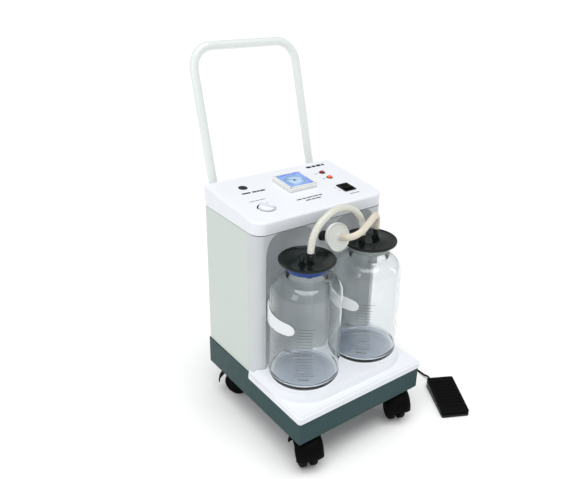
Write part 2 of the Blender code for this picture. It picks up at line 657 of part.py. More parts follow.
def handle_route():
    """Up behind the cabinet, a bend into the leaning plane, up, across the top and down the other side."""
    lean = Vector((0, math.sin(HANDLE_LEAN), math.cos(HANDLE_LEAN)))
    knee = Vector((0, HANDLE_STAND, 0.4626))
    rise = (HANDLE_TOP - knee.z) / math.cos(HANDLE_LEAN)
    side = [Vector((0, HANDLE_STAND, HANDLE_FOOT)), knee - Vector((0, 0, 0.010)), knee + 0.010 * lean]
    left = [p + Vector((-HANDLE_HALF, 0, 0)) for p in side]
    bend = [
        Vector((-HANDLE_HALF + HANDLE_BEND * (1 - math.cos(a)), 0, 0)) + knee
        + (rise - HANDLE_BEND * (1 - math.sin(a))) * lean
        for a in [math.radians(15 * i) for i in range(7)]
    ]
    half = left + bend
    return half + [Vector((-p.x, p.y, p.z)) for p in half[::-1]]


def make_handle(frame):
    white = material("handle_white", (0.82, 0.84, 0.84), 0.3)
    grey = material("grey_plastic", GREY, 0.4)
    tube("push_handle", handle_route(), HANDLE_RADIUS, white, frame, 3)
    face = BASE_REAR - 0.001 + GAP
    for name, side in (("left", -1), ("right", 1)):
        x = side * HANDLE_HALF
        plate = rounded_rectangle(x - 0.015, x + 0.015, face, HANDLE_STAND + 0.014, 0.002, 0.010, 3)
        socket = from_bmesh(f"handle_socket_{name}", prism_mesh(plate, 0.360, 0.446), grey, frame)
        cut(socket, cylinder_mesh(HANDLE_RADIUS + GAP, HANDLE_FOOT - GAP, 0.5, 24), (x, HANDLE_STAND, 0))


# Castors


def castor_places():
    return [(x, y) for y in (CASTOR_FRONT, CASTOR_REAR) for x in (-CASTOR_X, CASTOR_X)]


CASTOR_NAMES = ("front_left", "front_right", "rear_left", "rear_right")
CASTOR_HEADINGS = (200.0, 205.0, 150.0, 190.0)  # where each wheel trails, degrees clockwise from the rear


def make_castors(frame):
    black = material("black_plastic", BLACK, 0.4)
    rubber = material("black_rubber", BLACK, 0.6)
    for name, (x, y), heading in zip(CASTOR_NAMES, castor_places(), CASTOR_HEADINGS):
        pivot = bpy.data.objects.new(f"castor_{name}_pivot", None)
        link(pivot, None, frame)
        pivot.location = (x, y, 0)
        pivot.rotation_euler.z = math.radians(-heading)
        make_castor(f"castor_{name}", pivot, black, rubber)


def make_castor(name, pivot, black, rubber):
    """In the pivot's frame the stem is on Z and the wheels trail towards +Y."""
    stem = [(0, 0.060), (0.0055, 0.060), (0.0055, BASE_BOTTOM + 0.040), (0.0045, BASE_BOTTOM + 0.042), (0, BASE_BOTTOM + 0.042)]
    hood = from_bmesh(f"{name}_hood", hood_mesh(), black, pivot, smooth=50)
    add(hood, lathe_mesh(stem, 12))
    add(hood, lathe_mesh([(0, 0.060), (0.014, 0.060), (0.014, BASE_BOTTOM - 0.001), (0, BASE_BOTTOM - 0.001)], 16))
    across = Matrix.Rotation(math.radians(90), 4, "Y")
    centre = (0, CASTOR_TRAIL, WHEEL_RADIUS)
    web = rounded_rectangle(-0.0035, 0.0035, -0.010, 0.030, 0.002, 0.002, 2)
    add(hood, prism_mesh(web, 0.020, 0.062))
    add(hood, cylinder_mesh(0.0030, -0.0195, 0.0195, 12), centre, across)
    r, w = WHEEL_RADIUS, WHEEL_WIDTH
    for label, side in (("left", -1), ("right", 1)):
        disc = [(0.0033, 0), (r - 0.0015, 0), (r, 0.0015), (r, w - 0.005), (r - 0.002, w - 0.002), (r - 0.007, w),
                (0.0033, w)]
        shift = Vector((side * 0.0045, CASTOR_TRAIL, WHEEL_RADIUS))
        flip = across if side > 0 else Matrix.Rotation(math.radians(-90), 4, "Y")
        turned(f"{name}_wheel_{label}", disc, rubber, pivot, shift, flip, 20)


def hood_mesh():
    """A thin half-shell over both wheels, cut off below and at the front."""
    outer, wall = HOOD_RADIUS, 0.002
    centre_y, centre_z = CASTOR_TRAIL - 0.004, WHEEL_RADIUS + 0.004
    bm = bmesh.new()
    columns, rows = 12, 6
    layers = []
    for radius in (outer, outer - wall):
        grid = []
        for i in range(columns + 1):
            around = math.radians(-5 + 195 * i / columns)
            line = []
            for k in range(rows + 1):
                side = -1 + 2 * k / rows
                width = 0.0265 - (outer - radius)
                pull = 1 - 0.18 * abs(side) ** 4
                y = centre_y + radius * pull * math.cos(around)
                z = centre_z + radius * pull * math.sin(around)
                line.append(bm.verts.new((side * width, y, z)))
            grid.append(line)
        layers.append(grid)
    out, inn = layers
    for i in range(columns):
        for k in range(rows):
            bm.faces.new((out[i][k], out[i + 1][k], out[i + 1][k + 1], out[i][k + 1]))
            bm.faces.new((inn[i][k], inn[i][k + 1], inn[i + 1][k + 1], inn[i + 1][k]))
    for i in range(columns):
        for k in (0, rows):
            bm.faces.new((out[i][k], inn[i][k], inn[i + 1][k], out[i + 1][k]))
    for k in range(rows):
        for i in (0, columns):
            bm.faces.new((out[i][k], out[i][k + 1], inn[i][k + 1], inn[i][k]))
    return bm


# Inside the cabinet


def make_pump(frame):
    steel = material("steel", (0.6, 0.6, 0.6), 0.3, 1.0)
    rubber = material("black_rubber", BLACK, 0.6)
    iron = material("cast_grey", (0.3, 0.31, 0.32), 0.5, 0.6)
    deck = BASE_TOP + GAP
    middle_y, middle_z = 0.066, 0.212
    along = pointing((1, 0, 0))
    place = (-0.045, middle_y, middle_z)
    shell = [(0.0225, 0), (0.040, 0), (0.040, 0.080), (0.0225, 0.080)]
    stator = turned("motor_stator", shell, iron, frame, place, along, 32)
    foot = box_mesh(-0.040, 0.030, middle_y - 0.030, middle_y + 0.030, deck, middle_z - 0.030)
    add(stator, foot, (0, 0, 0))
    rotor = [(0, -0.030), (0.003, -0.030), (0.003, -0.004), (0.0215, -0.004), (0.0215, 0.076), (0.003, 0.076),
             (0.003, 0.1035), (0, 0.1035)]
    shaft = turned("motor_rotor_and_fan", rotor, steel, frame, place, along, 24)
    add(shaft, cylinder_mesh(0.010, -0.028, -0.014, 20), place, along)
    for i in range(5):
        blade = box_mesh(0.008, 0.036, -0.001, 0.001, -0.026, -0.015)
        add(shaft, blade, place, along @ Matrix.Rotation(math.radians(72 * i), 4, "Z"))
    head = from_bmesh("pump_head", box_mesh(0.042, 0.080, middle_y - 0.034, middle_y + 0.034, deck, 0.252), iron, frame)
    cut(head, cylinder_mesh(0.0045, -0.01, 0.030, 16), (0.030, middle_y, middle_z), along)
    add(head, cylinder_mesh(0.005, 0.250, 0.268, 16), (0.061, middle_y, 0))
    hose = [(0.061, middle_y, 0.2685), (0.060, 0.064, 0.300), (0.045, 0.045, 0.360), (0.015, 0.020, 0.398),
            (-0.002, -0.006, 0.4105), tuple(NOZZLE_ROOT - 0.0226 * FILTER_AXIS)]
    tube("suction_hose", smooth_route(hose, 0.014), 0.0055, rubber, frame, 2)


def make_rear_sockets(frame):
    black = material("black_plastic", BLACK, 0.4)
    face = BASE_REAR - 0.001 + GAP
    inlet = from_bmesh("mains_inlet", box_mesh(-0.133, -0.099, face, face + 0.003, 0.161, 0.190), black, frame)
    add(inlet, box_mesh(-0.130, -0.102, 0.125, face + 0.002, 0.164, 0.187))
    cut(inlet, box_mesh(-0.127, -0.105, 0.130, 0.160, 0.167, 0.184))
    x, y, z = JACK_PLACE
    jack = [(0, -0.016), (0.006, -0.016), (0.006, 0.001), (0.0095, 0.001), (0.0095, 0.004), (0.007, 0.006), (0, 0.006)]
    body = [(radius, height + 0.0003) if height >= 0.001 else (radius, height) for radius, height in jack]
    turned("foot_switch_socket", body, black, frame, (x, BASE_REAR - 0.0017, z), pointing((0, 1, 0)), 20)


# Foot switch and its cord


def switch_frame(frame):
    holder = bpy.data.objects.new("foot_switch_frame", None)
    link(holder, None, frame)
    holder.location = SWITCH_PLACE
    holder.rotation_euler.z = SWITCH_TURN
    return holder


def wedge_mesh(outline, low, drop):
    """An outline extruded from a flat underside to the pedal's sloping line, less drop."""

    def slope(x, y):
        share = (y + SWITCH_LENGTH / 2) / SWITCH_LENGTH
        return SWITCH_FRONT + (SWITCH_REAR - SWITCH_FRONT) * share - drop

    return prism_mesh(outline, low, slope)


def make_foot_switch(frame):
    holder = switch_frame(frame)
    black = material("black_plastic", BLACK, 0.4)
    rubber = material("black_rubber", BLACK, 0.6)
    steel = material("steel", (0.6, 0.6, 0.6), 0.3, 1.0)
    half, length = SWITCH_HALF, SWITCH_LENGTH / 2
    outer = rounded_rectangle(-half, half, -length, length, 0.004, 0.004, 3)
    base = from_bmesh("foot_switch_base", wedge_mesh(outer, 0.0, 0.0068), black, holder)
    well = box_mesh(-half + 0.004, half - 0.004, -0.020, length - 0.004, 0.003, 0.05)
    cut(base, well)
    pin_y, pin_z = -length + 0.010, 0.0048
    across = pointing((1, 0, 0))
    rod = [(0, 0), (0.0014, 0), (0.0014, 2 * half - 0.003), (0, 2 * half - 0.003)]
    plate = wedge_shell(outer)
    pedal = from_bmesh("foot_switch_pedal", plate, rubber, holder)
    hinge = (pin_y, pin_z)
    add(pedal, box_mesh(-0.020, 0.020, pin_y - 0.0035, pin_y + 0.0035, pin_z - 0.003, pin_z + 0.008))
    cut(base, box_mesh(-0.0206, 0.0206, pin_y - 0.0068, pin_y + 0.0068, 0.0015, 0.03))
    cut(base, cylinder_mesh(0.0017, -0.001, 2 * half + 0.001, 12), (-half, *hinge), across)
    cut(pedal, cylinder_mesh(0.0017, -0.001, 2 * half + 0.001, 12), (-half, *hinge), across)
    turned("foot_switch_pin", rod, steel, holder, (-half + 0.0015, *hinge), across, 12)
    gland = [(0.0024, 0), (0.0050, 0), (0.0050, 0.003), (0.0036, 0.016), (0.0024, 0.016)]
    turned("foot_switch_gland", gland, rubber, holder, (GLAND_X, length + GAP, 0.0085), pointing((0, 1, 0)), 16)


def wedge_shell(outer):
    """The pedal plate: the pedal's sloping slab above the base."""

    def top(x, y):
        return SWITCH_FRONT + (SWITCH_REAR - SWITCH_FRONT) * (y + SWITCH_LENGTH / 2) / SWITCH_LENGTH

    return prism_mesh(outer, lambda x, y: top(x, y) - 0.0032, top)


def gland_end():
    turn = Matrix.Rotation(SWITCH_TURN, 4, "Z")
    return SWITCH_PLACE + turn @ Vector((GLAND_X, SWITCH_LENGTH / 2 + 0.0166, 0.0085))


def cord_points():
    """The stretch from the rear socket down to the coil, and the one from the coil to the foot switch."""
    x, y, z = JACK_PLACE
    cx, cy = COIL_PLACE
    low = CORD_RADIUS + 0.0002
    down = [(x, y + 0.0062, z), (x, y + 0.020, z - 0.002), (x + 0.001, y + 0.036, z - 0.020), (x + 0.003, y + 0.044, z - 0.060),
            (x + 0.006, y + 0.047, z - 0.110), (x + 0.008, y + 0.050, 0.030), (x + 0.010, y + 0.056, 0.0085),
            (cx - 0.0215, cy - 0.0275, 0.0052)]
    end = gland_end()
    across = [(cx + 0.036, cy - 0.004, low), (cx + 0.050, cy - 0.030, low), (cx + 0.066, cy - 0.075, low),
              (cx + 0.090, cy - 0.140, low), (cx + 0.110, cy - 0.220, low), (0.2765, -0.050, low),
              (0.2795, -0.092, low), (0.2775, -0.119, 0.0045), tuple(end + Vector((0.0045, 0.0085, -0.0006))), tuple(end)]
    return down, across


def make_cord(frame):
    black = material("cord_black", BLACK, 0.5)
    down, across = cord_points()
    tube("foot_cord_drop", smooth_route(down, 0.011), CORD_RADIUS, black, frame, 2)
    tube("foot_cord_run", smooth_route(across, 0.014), CORD_RADIUS, black, frame, 2)
    half = COIL_SECTION / 2
    ring = [(COIL_RADIUS + half, 0.0005), (COIL_RADIUS + half, 0.0005 + COIL_SECTION),
            (COIL_RADIUS - half, 0.0005 + COIL_SECTION), (COIL_RADIUS - half, 0.0005)]
    turned("foot_cord_coil", ring, black, frame, (*COIL_PLACE, 0), segments=24)


def main():
    clear_scene()
    frame = bpy.data.objects.new("pump_frame", None)
    link(frame, None, None)
    frame.location = (-PLAN_CENTRE[0], -PLAN_CENTRE[1], 0)
    for make in (make_base, make_tray, make_cabinet, make_cover, make_gauge, make_knob, make_switch, make_lamps,
                 make_jars, make_lids, make_tubes, make_filter, make_nozzle, make_handle, make_castors, make_pump,
                 make_rear_sockets, make_foot_switch, make_cord):
        make(frame)


main()
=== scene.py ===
"""Looks of the electric suction pump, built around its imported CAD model. Metres, +Z up, front towards -Y.

Places are given in the trolley's own axes (x from its middle, y from its plan datum, z from the floor); ORIGIN, read
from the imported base, is where those axes stand in the row frame.
"""

import json
import math

import bmesh
import bpy
from mathutils import Matrix, Vector


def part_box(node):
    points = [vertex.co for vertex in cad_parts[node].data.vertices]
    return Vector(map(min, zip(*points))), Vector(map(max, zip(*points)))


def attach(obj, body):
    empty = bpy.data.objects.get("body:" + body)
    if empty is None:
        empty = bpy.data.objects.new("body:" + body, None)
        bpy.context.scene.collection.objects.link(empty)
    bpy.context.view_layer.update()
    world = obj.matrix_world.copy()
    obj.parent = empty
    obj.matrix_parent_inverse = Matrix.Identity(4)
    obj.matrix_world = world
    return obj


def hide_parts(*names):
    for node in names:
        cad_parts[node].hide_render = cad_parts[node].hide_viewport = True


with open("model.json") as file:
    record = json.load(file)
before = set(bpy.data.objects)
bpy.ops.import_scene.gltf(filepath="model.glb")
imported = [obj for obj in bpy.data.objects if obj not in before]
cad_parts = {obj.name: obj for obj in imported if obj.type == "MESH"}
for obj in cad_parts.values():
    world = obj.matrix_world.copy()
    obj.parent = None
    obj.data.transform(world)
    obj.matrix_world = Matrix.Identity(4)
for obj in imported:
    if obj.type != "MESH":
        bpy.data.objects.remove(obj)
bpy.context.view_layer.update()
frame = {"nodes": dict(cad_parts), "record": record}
bpy.context.scene.view_settings.view_transform = "Standard"

# Sizes shared with the CAD, in metres
BASE_FRONT = -0.200
base_low, base_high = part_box("base_frame")
ORIGIN = Vector(((base_low.x + base_high.x) / 2, base_low.y - BASE_FRONT, 0.0))

COVER_BOTTOM = 0.4567
COVER_FRONT = -0.0505
COVER_FRONT_TOP = 0.484
COVER_REAR = 0.1473
COVER_REAR_TOP = 0.5012
COVER_SLOPE = math.atan2(COVER_REAR_TOP - COVER_FRONT_TOP, COVER_REAR - COVER_FRONT)
COVER_HALF = 0.160

CABINET_FRONT = -0.0176
PANEL_HALF = 0.1578
PANEL_FACE = -0.049
PANEL_BOTTOM = 0.1416

JAR_X = 0.079
JAR_Y = -0.1011
JAR_RADIUS = 0.0713
JAR_BOTTOM = 0.1575
JAR_SHOULDER = 0.345
JAR_MOUTH = 0.4045
NECK_RADIUS = 0.0405
RECESS_RADIUS = 0.0785

LID_TOP = 0.4176
LID_UNDER = 0.4056
LID_RADIUS = 0.0559
LID_PORTS = {"left": ((-0.0228, -0.0138), (-0.0066, -0.0180)), "right": ((-0.0255, -0.0040), (0.0145, 0.0))}
TUBE_RADIUS = 0.0068

NOZZLE_ROOT = Vector((-0.003, -0.049, 0.4245))
FILTER_AXIS = Vector((0.0, -0.952, 0.306)).normalized()
FILTER_CENTRE = NOZZLE_ROOT + 0.049 * FILTER_AXIS
FILTER_RADIUS = 0.0285

HANDLE_HALF = 0.1245
HANDLE_STAND = 0.1613
HANDLE_LEAN = math.radians(15.75)

WHEEL_RADIUS = 0.028
CASTOR_TRAIL = 0.016
CASTOR_HEADINGS = {"front_left": 200.0, "front_right": 205.0, "rear_left": 150.0, "rear_right": 190.0}

# Where the photograph was taken from: the camera's place in the trolley's axes and its own axes
CAMERA_PLACE = Vector((-0.7579, -0.9890, 0.9817))
CAMERA_RIGHT = Vector((0.76939, -0.63657, 0.05301))
CAMERA_UP = Vector((0.23331, 0.35730, 0.90438))
CAMERA_FORWARD = Vector((0.59464, 0.68346, -0.42343))
CAMERA_LENS = 41.68
CAMERA_SHIFT = -0.105


# Materials


def new_material(name):
    made = bpy.data.materials.new(name)
    made.use_nodes = True
    nodes, links = made.node_tree.nodes, made.node_tree.links
    return made, nodes, links, nodes["Principled BSDF"]


def noise(nodes, links, scale, detail=3.0, roughness=0.55):
    """A noise texture in the object's own metres."""
    place = nodes.new("ShaderNodeTexCoord")
    made = nodes.new("ShaderNodeTexNoise")
    made.inputs["Scale"].default_value = scale
    made.inputs["Detail"].default_value = detail
    made.inputs["Roughness"].default_value = roughness
    links.new(place.outputs["Object"], made.inputs["Vector"])
    return made.outputs["Fac"]


def spread(nodes, links, value, low, high):
    """The value from 0 to 1 spread between low and high."""
    made = nodes.new("ShaderNodeMapRange")
    made.inputs["From Min"].default_value = 0.3
    made.inputs["From Max"].default_value = 0.7
    made.inputs["To Min"].default_value = low
    made.inputs["To Max"].default_value = high
    links.new(value, made.inputs["Value"])
    return made.outputs["Result"]


def finish(name, colour, roughness, tone=0.03, grain=420.0, depth=0.000006, patch=14.0, **inputs):
    """A material whose tone drifts a little from place to place, with a fine grain in its surface and its gloss."""
    made, nodes, links, shader = new_material(name)
    mix = nodes.new("ShaderNodeMix")
    mix.data_type = "RGBA"
    mix.inputs["A"].default_value = (*[c * (1 - tone) for c in colour], 1.0)
    mix.inputs["B"].default_value = (*[min(1.0, c * (1 + tone)) for c in colour], 1.0)
    links.new(noise(nodes, links, patch), mix.inputs["Factor"])
    links.new(mix.outputs["Result"], shader.inputs["Base Color"])
    gloss = spread(nodes, links, noise(nodes, links, patch * 6, 4.0), roughness * 0.88, min(1.0, roughness * 1.12))
    links.new(gloss, shader.inputs["Roughness"])
    bump = nodes.new("ShaderNodeBump")
    bump.inputs["Strength"].default_value = 0.2
    bump.inputs["Distance"].default_value = depth
    links.new(noise(nodes, links, grain, 2.0), bump.inputs["Height"])
    links.new(bump.outputs["Normal"], shader.inputs["Normal"])
    for key, value in inputs.items():
        shader.inputs[key.replace("_", " ")].default_value = value
    return made


def dial_finish():
    """The gauge's printed face: pale in the middle, blue towards its frame."""
    made, nodes, links, shader = new_material("dial_face")
    place = nodes.new("ShaderNodeTexCoord")
    shape = nodes.new("ShaderNodeTexGradient")
    shape.gradient_type = "QUADRATIC_SPHERE"
    scale = nodes.new("ShaderNodeMapping")
    scale.inputs["Scale"].default_value = (28.0, 28.0, 28.0)
    links.new(place.outputs["Object"], scale.inputs["Vector"])
    links.new(scale.outputs["Vector"], shape.inputs["Vector"])
    ramp = nodes.new("ShaderNodeValToRGB")
    ramp.color_ramp.elements[0].color = (0.14, 0.27, 0.58, 1.0)
    ramp.color_ramp.elements[1].color = (0.36, 0.50, 0.62, 1.0)
    ramp.color_ramp.elements[1].position = 0.45
    links.new(shape.outputs["Fac"], ramp.inputs["Fac"])
    links.new(ramp.outputs["Color"], shader.inputs["Base Color"])
    shader.inputs["Roughness"].default_value = 0.35
    return made


def glass_finish(name, colour, roughness=0.0, ior=1.47):
    made, nodes, links, shader = new_material(name)
    mix = nodes.new("ShaderNodeMix")
    mix.data_type = "RGBA"
    mix.inputs["A"].default_value = (*colour, 1.0)
    mix.inputs["B"].default_value = (*[c * 0.97 for c in colour], 1.0)
    links.new(noise(nodes, links, 9.0), mix.inputs["Factor"])
    links.new(mix.outputs["Result"], shader.inputs["Base Color"])
    shader.inputs["Roughness"].default_value = roughness
    shader.inputs["IOR"].default_value = ior
    shader.inputs["Transmission Weight"].default_value = 1.0
    bump = nodes.new("ShaderNodeBump")
    bump.inputs["Strength"].default_value = 0.35
    bump.inputs["Distance"].default_value = 0.0006
    links.new(noise(nodes, links, 24.0, 1.0), bump.inputs["Height"])
    links.new(bump.outputs["Normal"], shader.inputs["Normal"])
    return made


def lens_finish(name, colour, glow):
    made = finish(name, colour, 0.12, 0.05, 2500.0, 0.00003, Transmission_Weight=0.1, Coat_Weight=0.2)
    shader = made.node_tree.nodes["Principled BSDF"]
    shader.inputs["Emission Color"].default_value = (*colour, 1.0)
    shader.inputs["Emission Strength"].default_value = glow
    return made


WHITE = finish("white_moulding", (0.84, 0.865, 0.91), 0.34, 0.012, 350.0, 0.000005)
# The cover's white moulding made darker for the front panel: painted shade for the dimmer light on its front faces
# and recesses.
PANEL_SHADED_WHITE = finish("panel_moulding_painted_shade", (0.60, 0.63, 0.65), 0.32, 0.02, 350.0, 0.000005)
PAINT = finish("cream_paint", (0.60, 0.665, 0.62), 0.35, 0.015, 300.0, 0.000008, Coat_Weight=0.15,
               Coat_Roughness=0.15)
GREEN_GREY = finish("green_grey_paint", (0.042, 0.080, 0.083), 0.5, 0.06, 300.0, 0.00001, Specular_IOR_Level=0.1)
BLACK = finish("black_plastic", (0.005, 0.007, 0.007), 0.38, 0.2, 400.0, 0.00001, Specular_IOR_Level=0.25)
LID_BLACK = finish("lid_black", (0.004, 0.008, 0.007), 0.20, 0.2, 300.0, 0.00001, Specular_IOR_Level=0.32)
RUBBER = finish("black_rubber", (0.003, 0.003, 0.003), 0.6, 0.2, 500.0, 0.00002, Specular_IOR_Level=0.06)
CASTOR_BLACK = finish("castor_black", (0.002, 0.002, 0.002), 0.55, 0.2, 400.0, 0.00001, Specular_IOR_Level=0.06)
CORD_BLACK = finish("cord_black", (0.004, 0.004, 0.004), 0.5, 0.2, 600.0, 0.00001, Specular_IOR_Level=0.1)
GREY = finish("grey_plastic", (0.62, 0.65, 0.65), 0.4)
CLIP = finish("clip_white", (0.80, 0.83, 0.84), 0.32, 0.01, 300.0, 0.000004, Coat_Weight=0.2)
GAUGE_WHITE = finish("gauge_white", (0.86, 0.86, 0.83), 0.28, 0.015, 300.0, 0.000004, Coat_Weight=0.3)
ENAMEL = finish("handle_enamel", (0.80, 0.85, 0.83), 0.18, 0.02, 200.0, 0.00001, Coat_Weight=0.6,
                Coat_Roughness=0.05)
SEAL_BLUE = finish("seal_blue", (0.004, 0.045, 0.27), 0.35, 0.08)
SEAL_CLEAR = finish("seal_clear", (0.42, 0.47, 0.45), 0.25, 0.04, Transmission_Weight=0.3)
SILICONE = finish("silicone", (0.80, 0.80, 0.71), 0.25, 0.03, 150.0, 0.00001, 20.0, Transmission_Weight=0.15,
                  IOR=1.41,
                  Coat_Weight=0.4)
SILICONE_TAN = finish("silicone_tan", (0.80, 0.73, 0.61), 0.25, 0.05, 150.0, 0.00001, 25.0,
                      Transmission_Weight=0.12,
                      IOR=1.41, Coat_Weight=0.4)
MILKY = finish("filter_plastic", (0.90, 0.92, 0.87), 0.20, 0.02, 300.0, 0.000004, Transmission_Weight=0.12,
               Coat_Weight=0.5)
MEMBRANE = finish("filter_membrane", (0.85, 0.85, 0.80), 0.8, 0.04, 600.0, 0.00002)
FLOAT_WHITE = finish("float_white", (0.78, 0.78, 0.74), 0.4)
STEEL = finish("steel", (0.55, 0.56, 0.57), 0.3, 0.05, 400.0, 0.00001, Metallic=1.0)
BRASS = finish("brass", (0.60, 0.44, 0.18), 0.32, 0.06, 400.0, 0.00001, Metallic=1.0)
CAST = finish("cast_grey", (0.22, 0.23, 0.24), 0.55, 0.1, 500.0, 0.0001, Metallic=0.5)
SEAM = finish("seam_shadow", (0.045, 0.05, 0.05), 0.8, Specular_IOR_Level=0.1)
INK = finish("ink_dark", (0.02, 0.025, 0.03), 0.6, 0.1, Specular_IOR_Level=0.2)
SCALE_INK = finish("scale_ink", (0.08, 0.078, 0.05), 0.6, 0.1)
BLUE_FRAME = finish("dial_frame", (0.03, 0.12, 0.62), 0.35)
DIAL = dial_finish()
JAR_GLASS = glass_finish("jar_glass", (0.92, 0.945, 0.95))
# Dark glass for the jars' bottoms: painted shade for the shadow on the platform under the jars, since the jar glass
# casts no shadow.
JAR_BASE_SHADE_GLASS = glass_finish("jar_base_painted_shade_glass", (0.44, 0.48, 0.53))
WINDOW = glass_finish("clear_plastic", (0.97, 0.98, 1.0), 0.02, 1.3)
SPIGOT_SLEEVE = glass_finish("spigot_sleeve", (0.93, 0.93, 0.88), 0.1, 1.2)
LAMP_RED = lens_finish("lamp_red", (0.26, 0.004, 0.008), 0.03)
LAMP_ORANGE = lens_finish("lamp_orange", (0.90, 0.10, 0.015), 0.2)

CAD_FINISHES = {
    "white_moulding": WHITE, "cream_paint": PAINT, "green_grey_paint": GREEN_GREY, "black_plastic": BLACK,
    "black_rubber": RUBBER, "grey_plastic": GREY, "gauge_white": GAUGE_WHITE, "dial_blue": BLUE_FRAME,
    "clear_plastic": WINDOW, "brass": BRASS, "steel": STEEL, "lamp_red": LAMP_RED, "lamp_orange": LAMP_ORANGE,
    "jar_glass": JAR_GLASS, "clip_white": CLIP, "seal_blue": SEAL_BLUE, "seal_clear": SEAL_CLEAR,
    "float_white": FLOAT_WHITE, "silicone": SILICONE, "filter_plastic": MILKY, "handle_white": ENAMEL,
    "cast_grey": CAST, "cord_black": CORD_BLACK,
}


# Mesh helpers


def arc(cx, cy, radius, start, end, steps):
    """Points on an arc, angles in degrees."""
    turns = [math.radians(start + (end - start) * i / steps) for i in range(steps + 1)]
    return [(cx + radius * math.cos(a), cy + radius * math.sin(a)) for a in turns]


def rounded_rectangle(x0, x1, y0, y1, front, rear, steps=8):
    return (
        arc(x0 + front, y0 + front, front, 180, 270, steps)
        + arc(x1 - front, y0 + front, front, 270, 360, steps)
        + arc(x1 - rear, y1 - rear, rear, 0, 90, steps)
        + arc(x0 + rear, y1 - rear, rear, 90, 180, steps)
    )


def prism(outline, z0, z1):
    """bmesh of an outline extruded from z0 to z1; either may be a function of (x, y)."""
    low = z0 if callable(z0) else lambda x, y: z0
    high = z1 if callable(z1) else lambda x, y: z1
    bm = bmesh.new()
    bottom = [bm.verts.new((x, y, low(x, y))) for x, y in outline]
    top = [bm.verts.new((x, y, high(x, y))) for x, y in outline]
    bm.faces.new(bottom[::-1])
    bm.faces.new(top)
    for i in range(len(outline)):
        j = (i + 1) % len(outline)
        bm.faces.new((bottom[i], bottom[j], top[j], top[i]))
    return bm


def box(x0, x1, y0, y1, z0, z1):
    return prism([(x0, y0), (x1, y0), (x1, y1), (x0, y1)], z0, z1)


def lathe(profile, segments=96):
    """Turns a closed (radius, height) profile about Z."""
    bm = bmesh.new()
    rings = []
    for radius, height in profile:
        if radius < 1e-9:
            rings.append([bm.verts.new((0, 0, height))] * segments)
            continue
        angles = [math.tau * i / segments for i in range(segments)]
        rings.append([bm.verts.new((radius * math.cos(a), radius * math.sin(a), height)) for a in angles])
    for k in range(len(rings)):
        one, other = rings[k], rings[(k + 1) % len(rings)]
        for i in range(segments):
            j = (i + 1) % segments
            corners = list(dict.fromkeys((one[i], one[j], other[j], other[i])))
            if len(corners) > 2:
                bm.faces.new(corners)
    return bm


def joined(*parts):
    """One bmesh from several (bmesh, matrix) pairs."""
    whole = bmesh.new()
    for part, matrix in parts:
        mesh = bpy.data.meshes.new("part")
        part.to_mesh(mesh)
        part.free()
        mesh.transform(matrix)
        whole.from_mesh(mesh)
        bpy.data.meshes.remove(mesh)
    return whole


def pointing(direction):
    """The rotation that turns +Z to a direction."""
    return Vector((0, 0, 1)).rotation_difference(Vector(direction)).to_matrix().to_4x4()


def move(*place):
    return Matrix.Translation(place if len(place) == 3 else place[0])


def piece(name, bm, material, body="frame", at=None, instead_of=(), slot=None, bevel=0.0, smooth=35, turn=None,
          segments=3):
    """A mesh piece in place, riding a CAD body."""
    bmesh.ops.recalc_face_normals(bm, faces=bm.faces)
    mesh = bpy.data.meshes.new(name)
    bm.to_mesh(mesh)
    bm.free()
    obj = bpy.data.objects.new(name, mesh)
    bpy.context.scene.collection.objects.link(obj)
    mesh.materials.append(material)
    obj.matrix_world = Matrix.Translation(ORIGIN) @ Matrix.Translation(at or (0, 0,
                                                                              0)) @ (turn or Matrix.Identity(4))
    soften(obj, bevel, smooth, segments)
    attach(obj, body)
    if instead_of:
        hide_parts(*instead_of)
    return obj


def soften(obj, bevel, smooth, segments=3):
    """Smooth shading up to an angle, with the sharper edges rounded by a bevel."""
    obj.data.shade_smooth()
    obj.data.set_sharp_from_angle(angle=math.radians(smooth))
    if bevel:
        rounding = obj.modifiers.new("rounding", "BEVEL")
        rounding.width = bevel
        rounding.segments = segments
        rounding.limit_method = "ANGLE"
        rounding.angle_limit = math.radians(smooth)
        rounding.harden_normals = True


def tube(name, points, radius, material, body, instead_of=(), resolution=8):
    """A round tube along a smooth curve through the given points."""
    curve = bpy.data.curves.new(name, "CURVE")
    curve.dimensions = "3D"
    curve.bevel_depth = radius
    curve.bevel_resolution = resolution
    curve.use_fill_caps = True
    spline = curve.splines.new("POLY")
    spline.points.add(len(points) - 1)
    for point, place in zip(spline.points, points):
        point.co = (*place, 1.0)
    spline.use_smooth = True
    curve.materials.append(material)
    obj = bpy.data.objects.new(name, curve)
    bpy.context.scene.collection.objects.link(obj)
    obj.location = ORIGIN
    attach(obj, body)
    if instead_of:
        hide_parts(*instead_of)
    return obj


def smooth_route(points, step):
    """Points every step or so along a smooth curve through the given ones."""
    knots = [Vector(p) for p in points]
    ends = [2 * knots[0] - knots[1]] + knots + [2 * knots[-1] - knots[-2]]
    route = []
    for a, b, c, d in zip(ends, ends[1:], ends[2:], ends[3:]):
        count = max(1, round((c - b).length / step))
        for i in range(count):
            t = i / count
            route.append(
                0.5 * (2 * b + (c - a) * t + (2 * a - 5 * b + 4 * c - d) * t**2 + (3 * b - a - 3 * c + d) * t**3)
            )
    return route + [knots[-1]]


def route_length(points):
    return sum((b - a).length for a, b in zip(points, points[1:]))


# CAD nodes that show as they are, with rounded edges and their own finish

ROUNDED_NODES = {
    "base_frame": 0.0012, "jar_tray": 0.0020, "side_panel_left": 0.0006, "side_panel_right": 0.0006,
    "rear_panel": 0.0004,
    "gauge_body": 0.0010, "power_switch_body": 0.0007, "power_switch_rocker": 0.0006, "handle_socket_left": 0.0015,
    "handle_socket_right": 0.0015, "mains_inlet": 0.0006, "foot_switch_base": 0.0015, "foot_switch_pedal": 0.0014,
    "vacuum_knob": 0.0006, "pump_head": 0.0020, "foot_switch_gland": 0.0004, "foot_switch_socket": 0.0004,
}


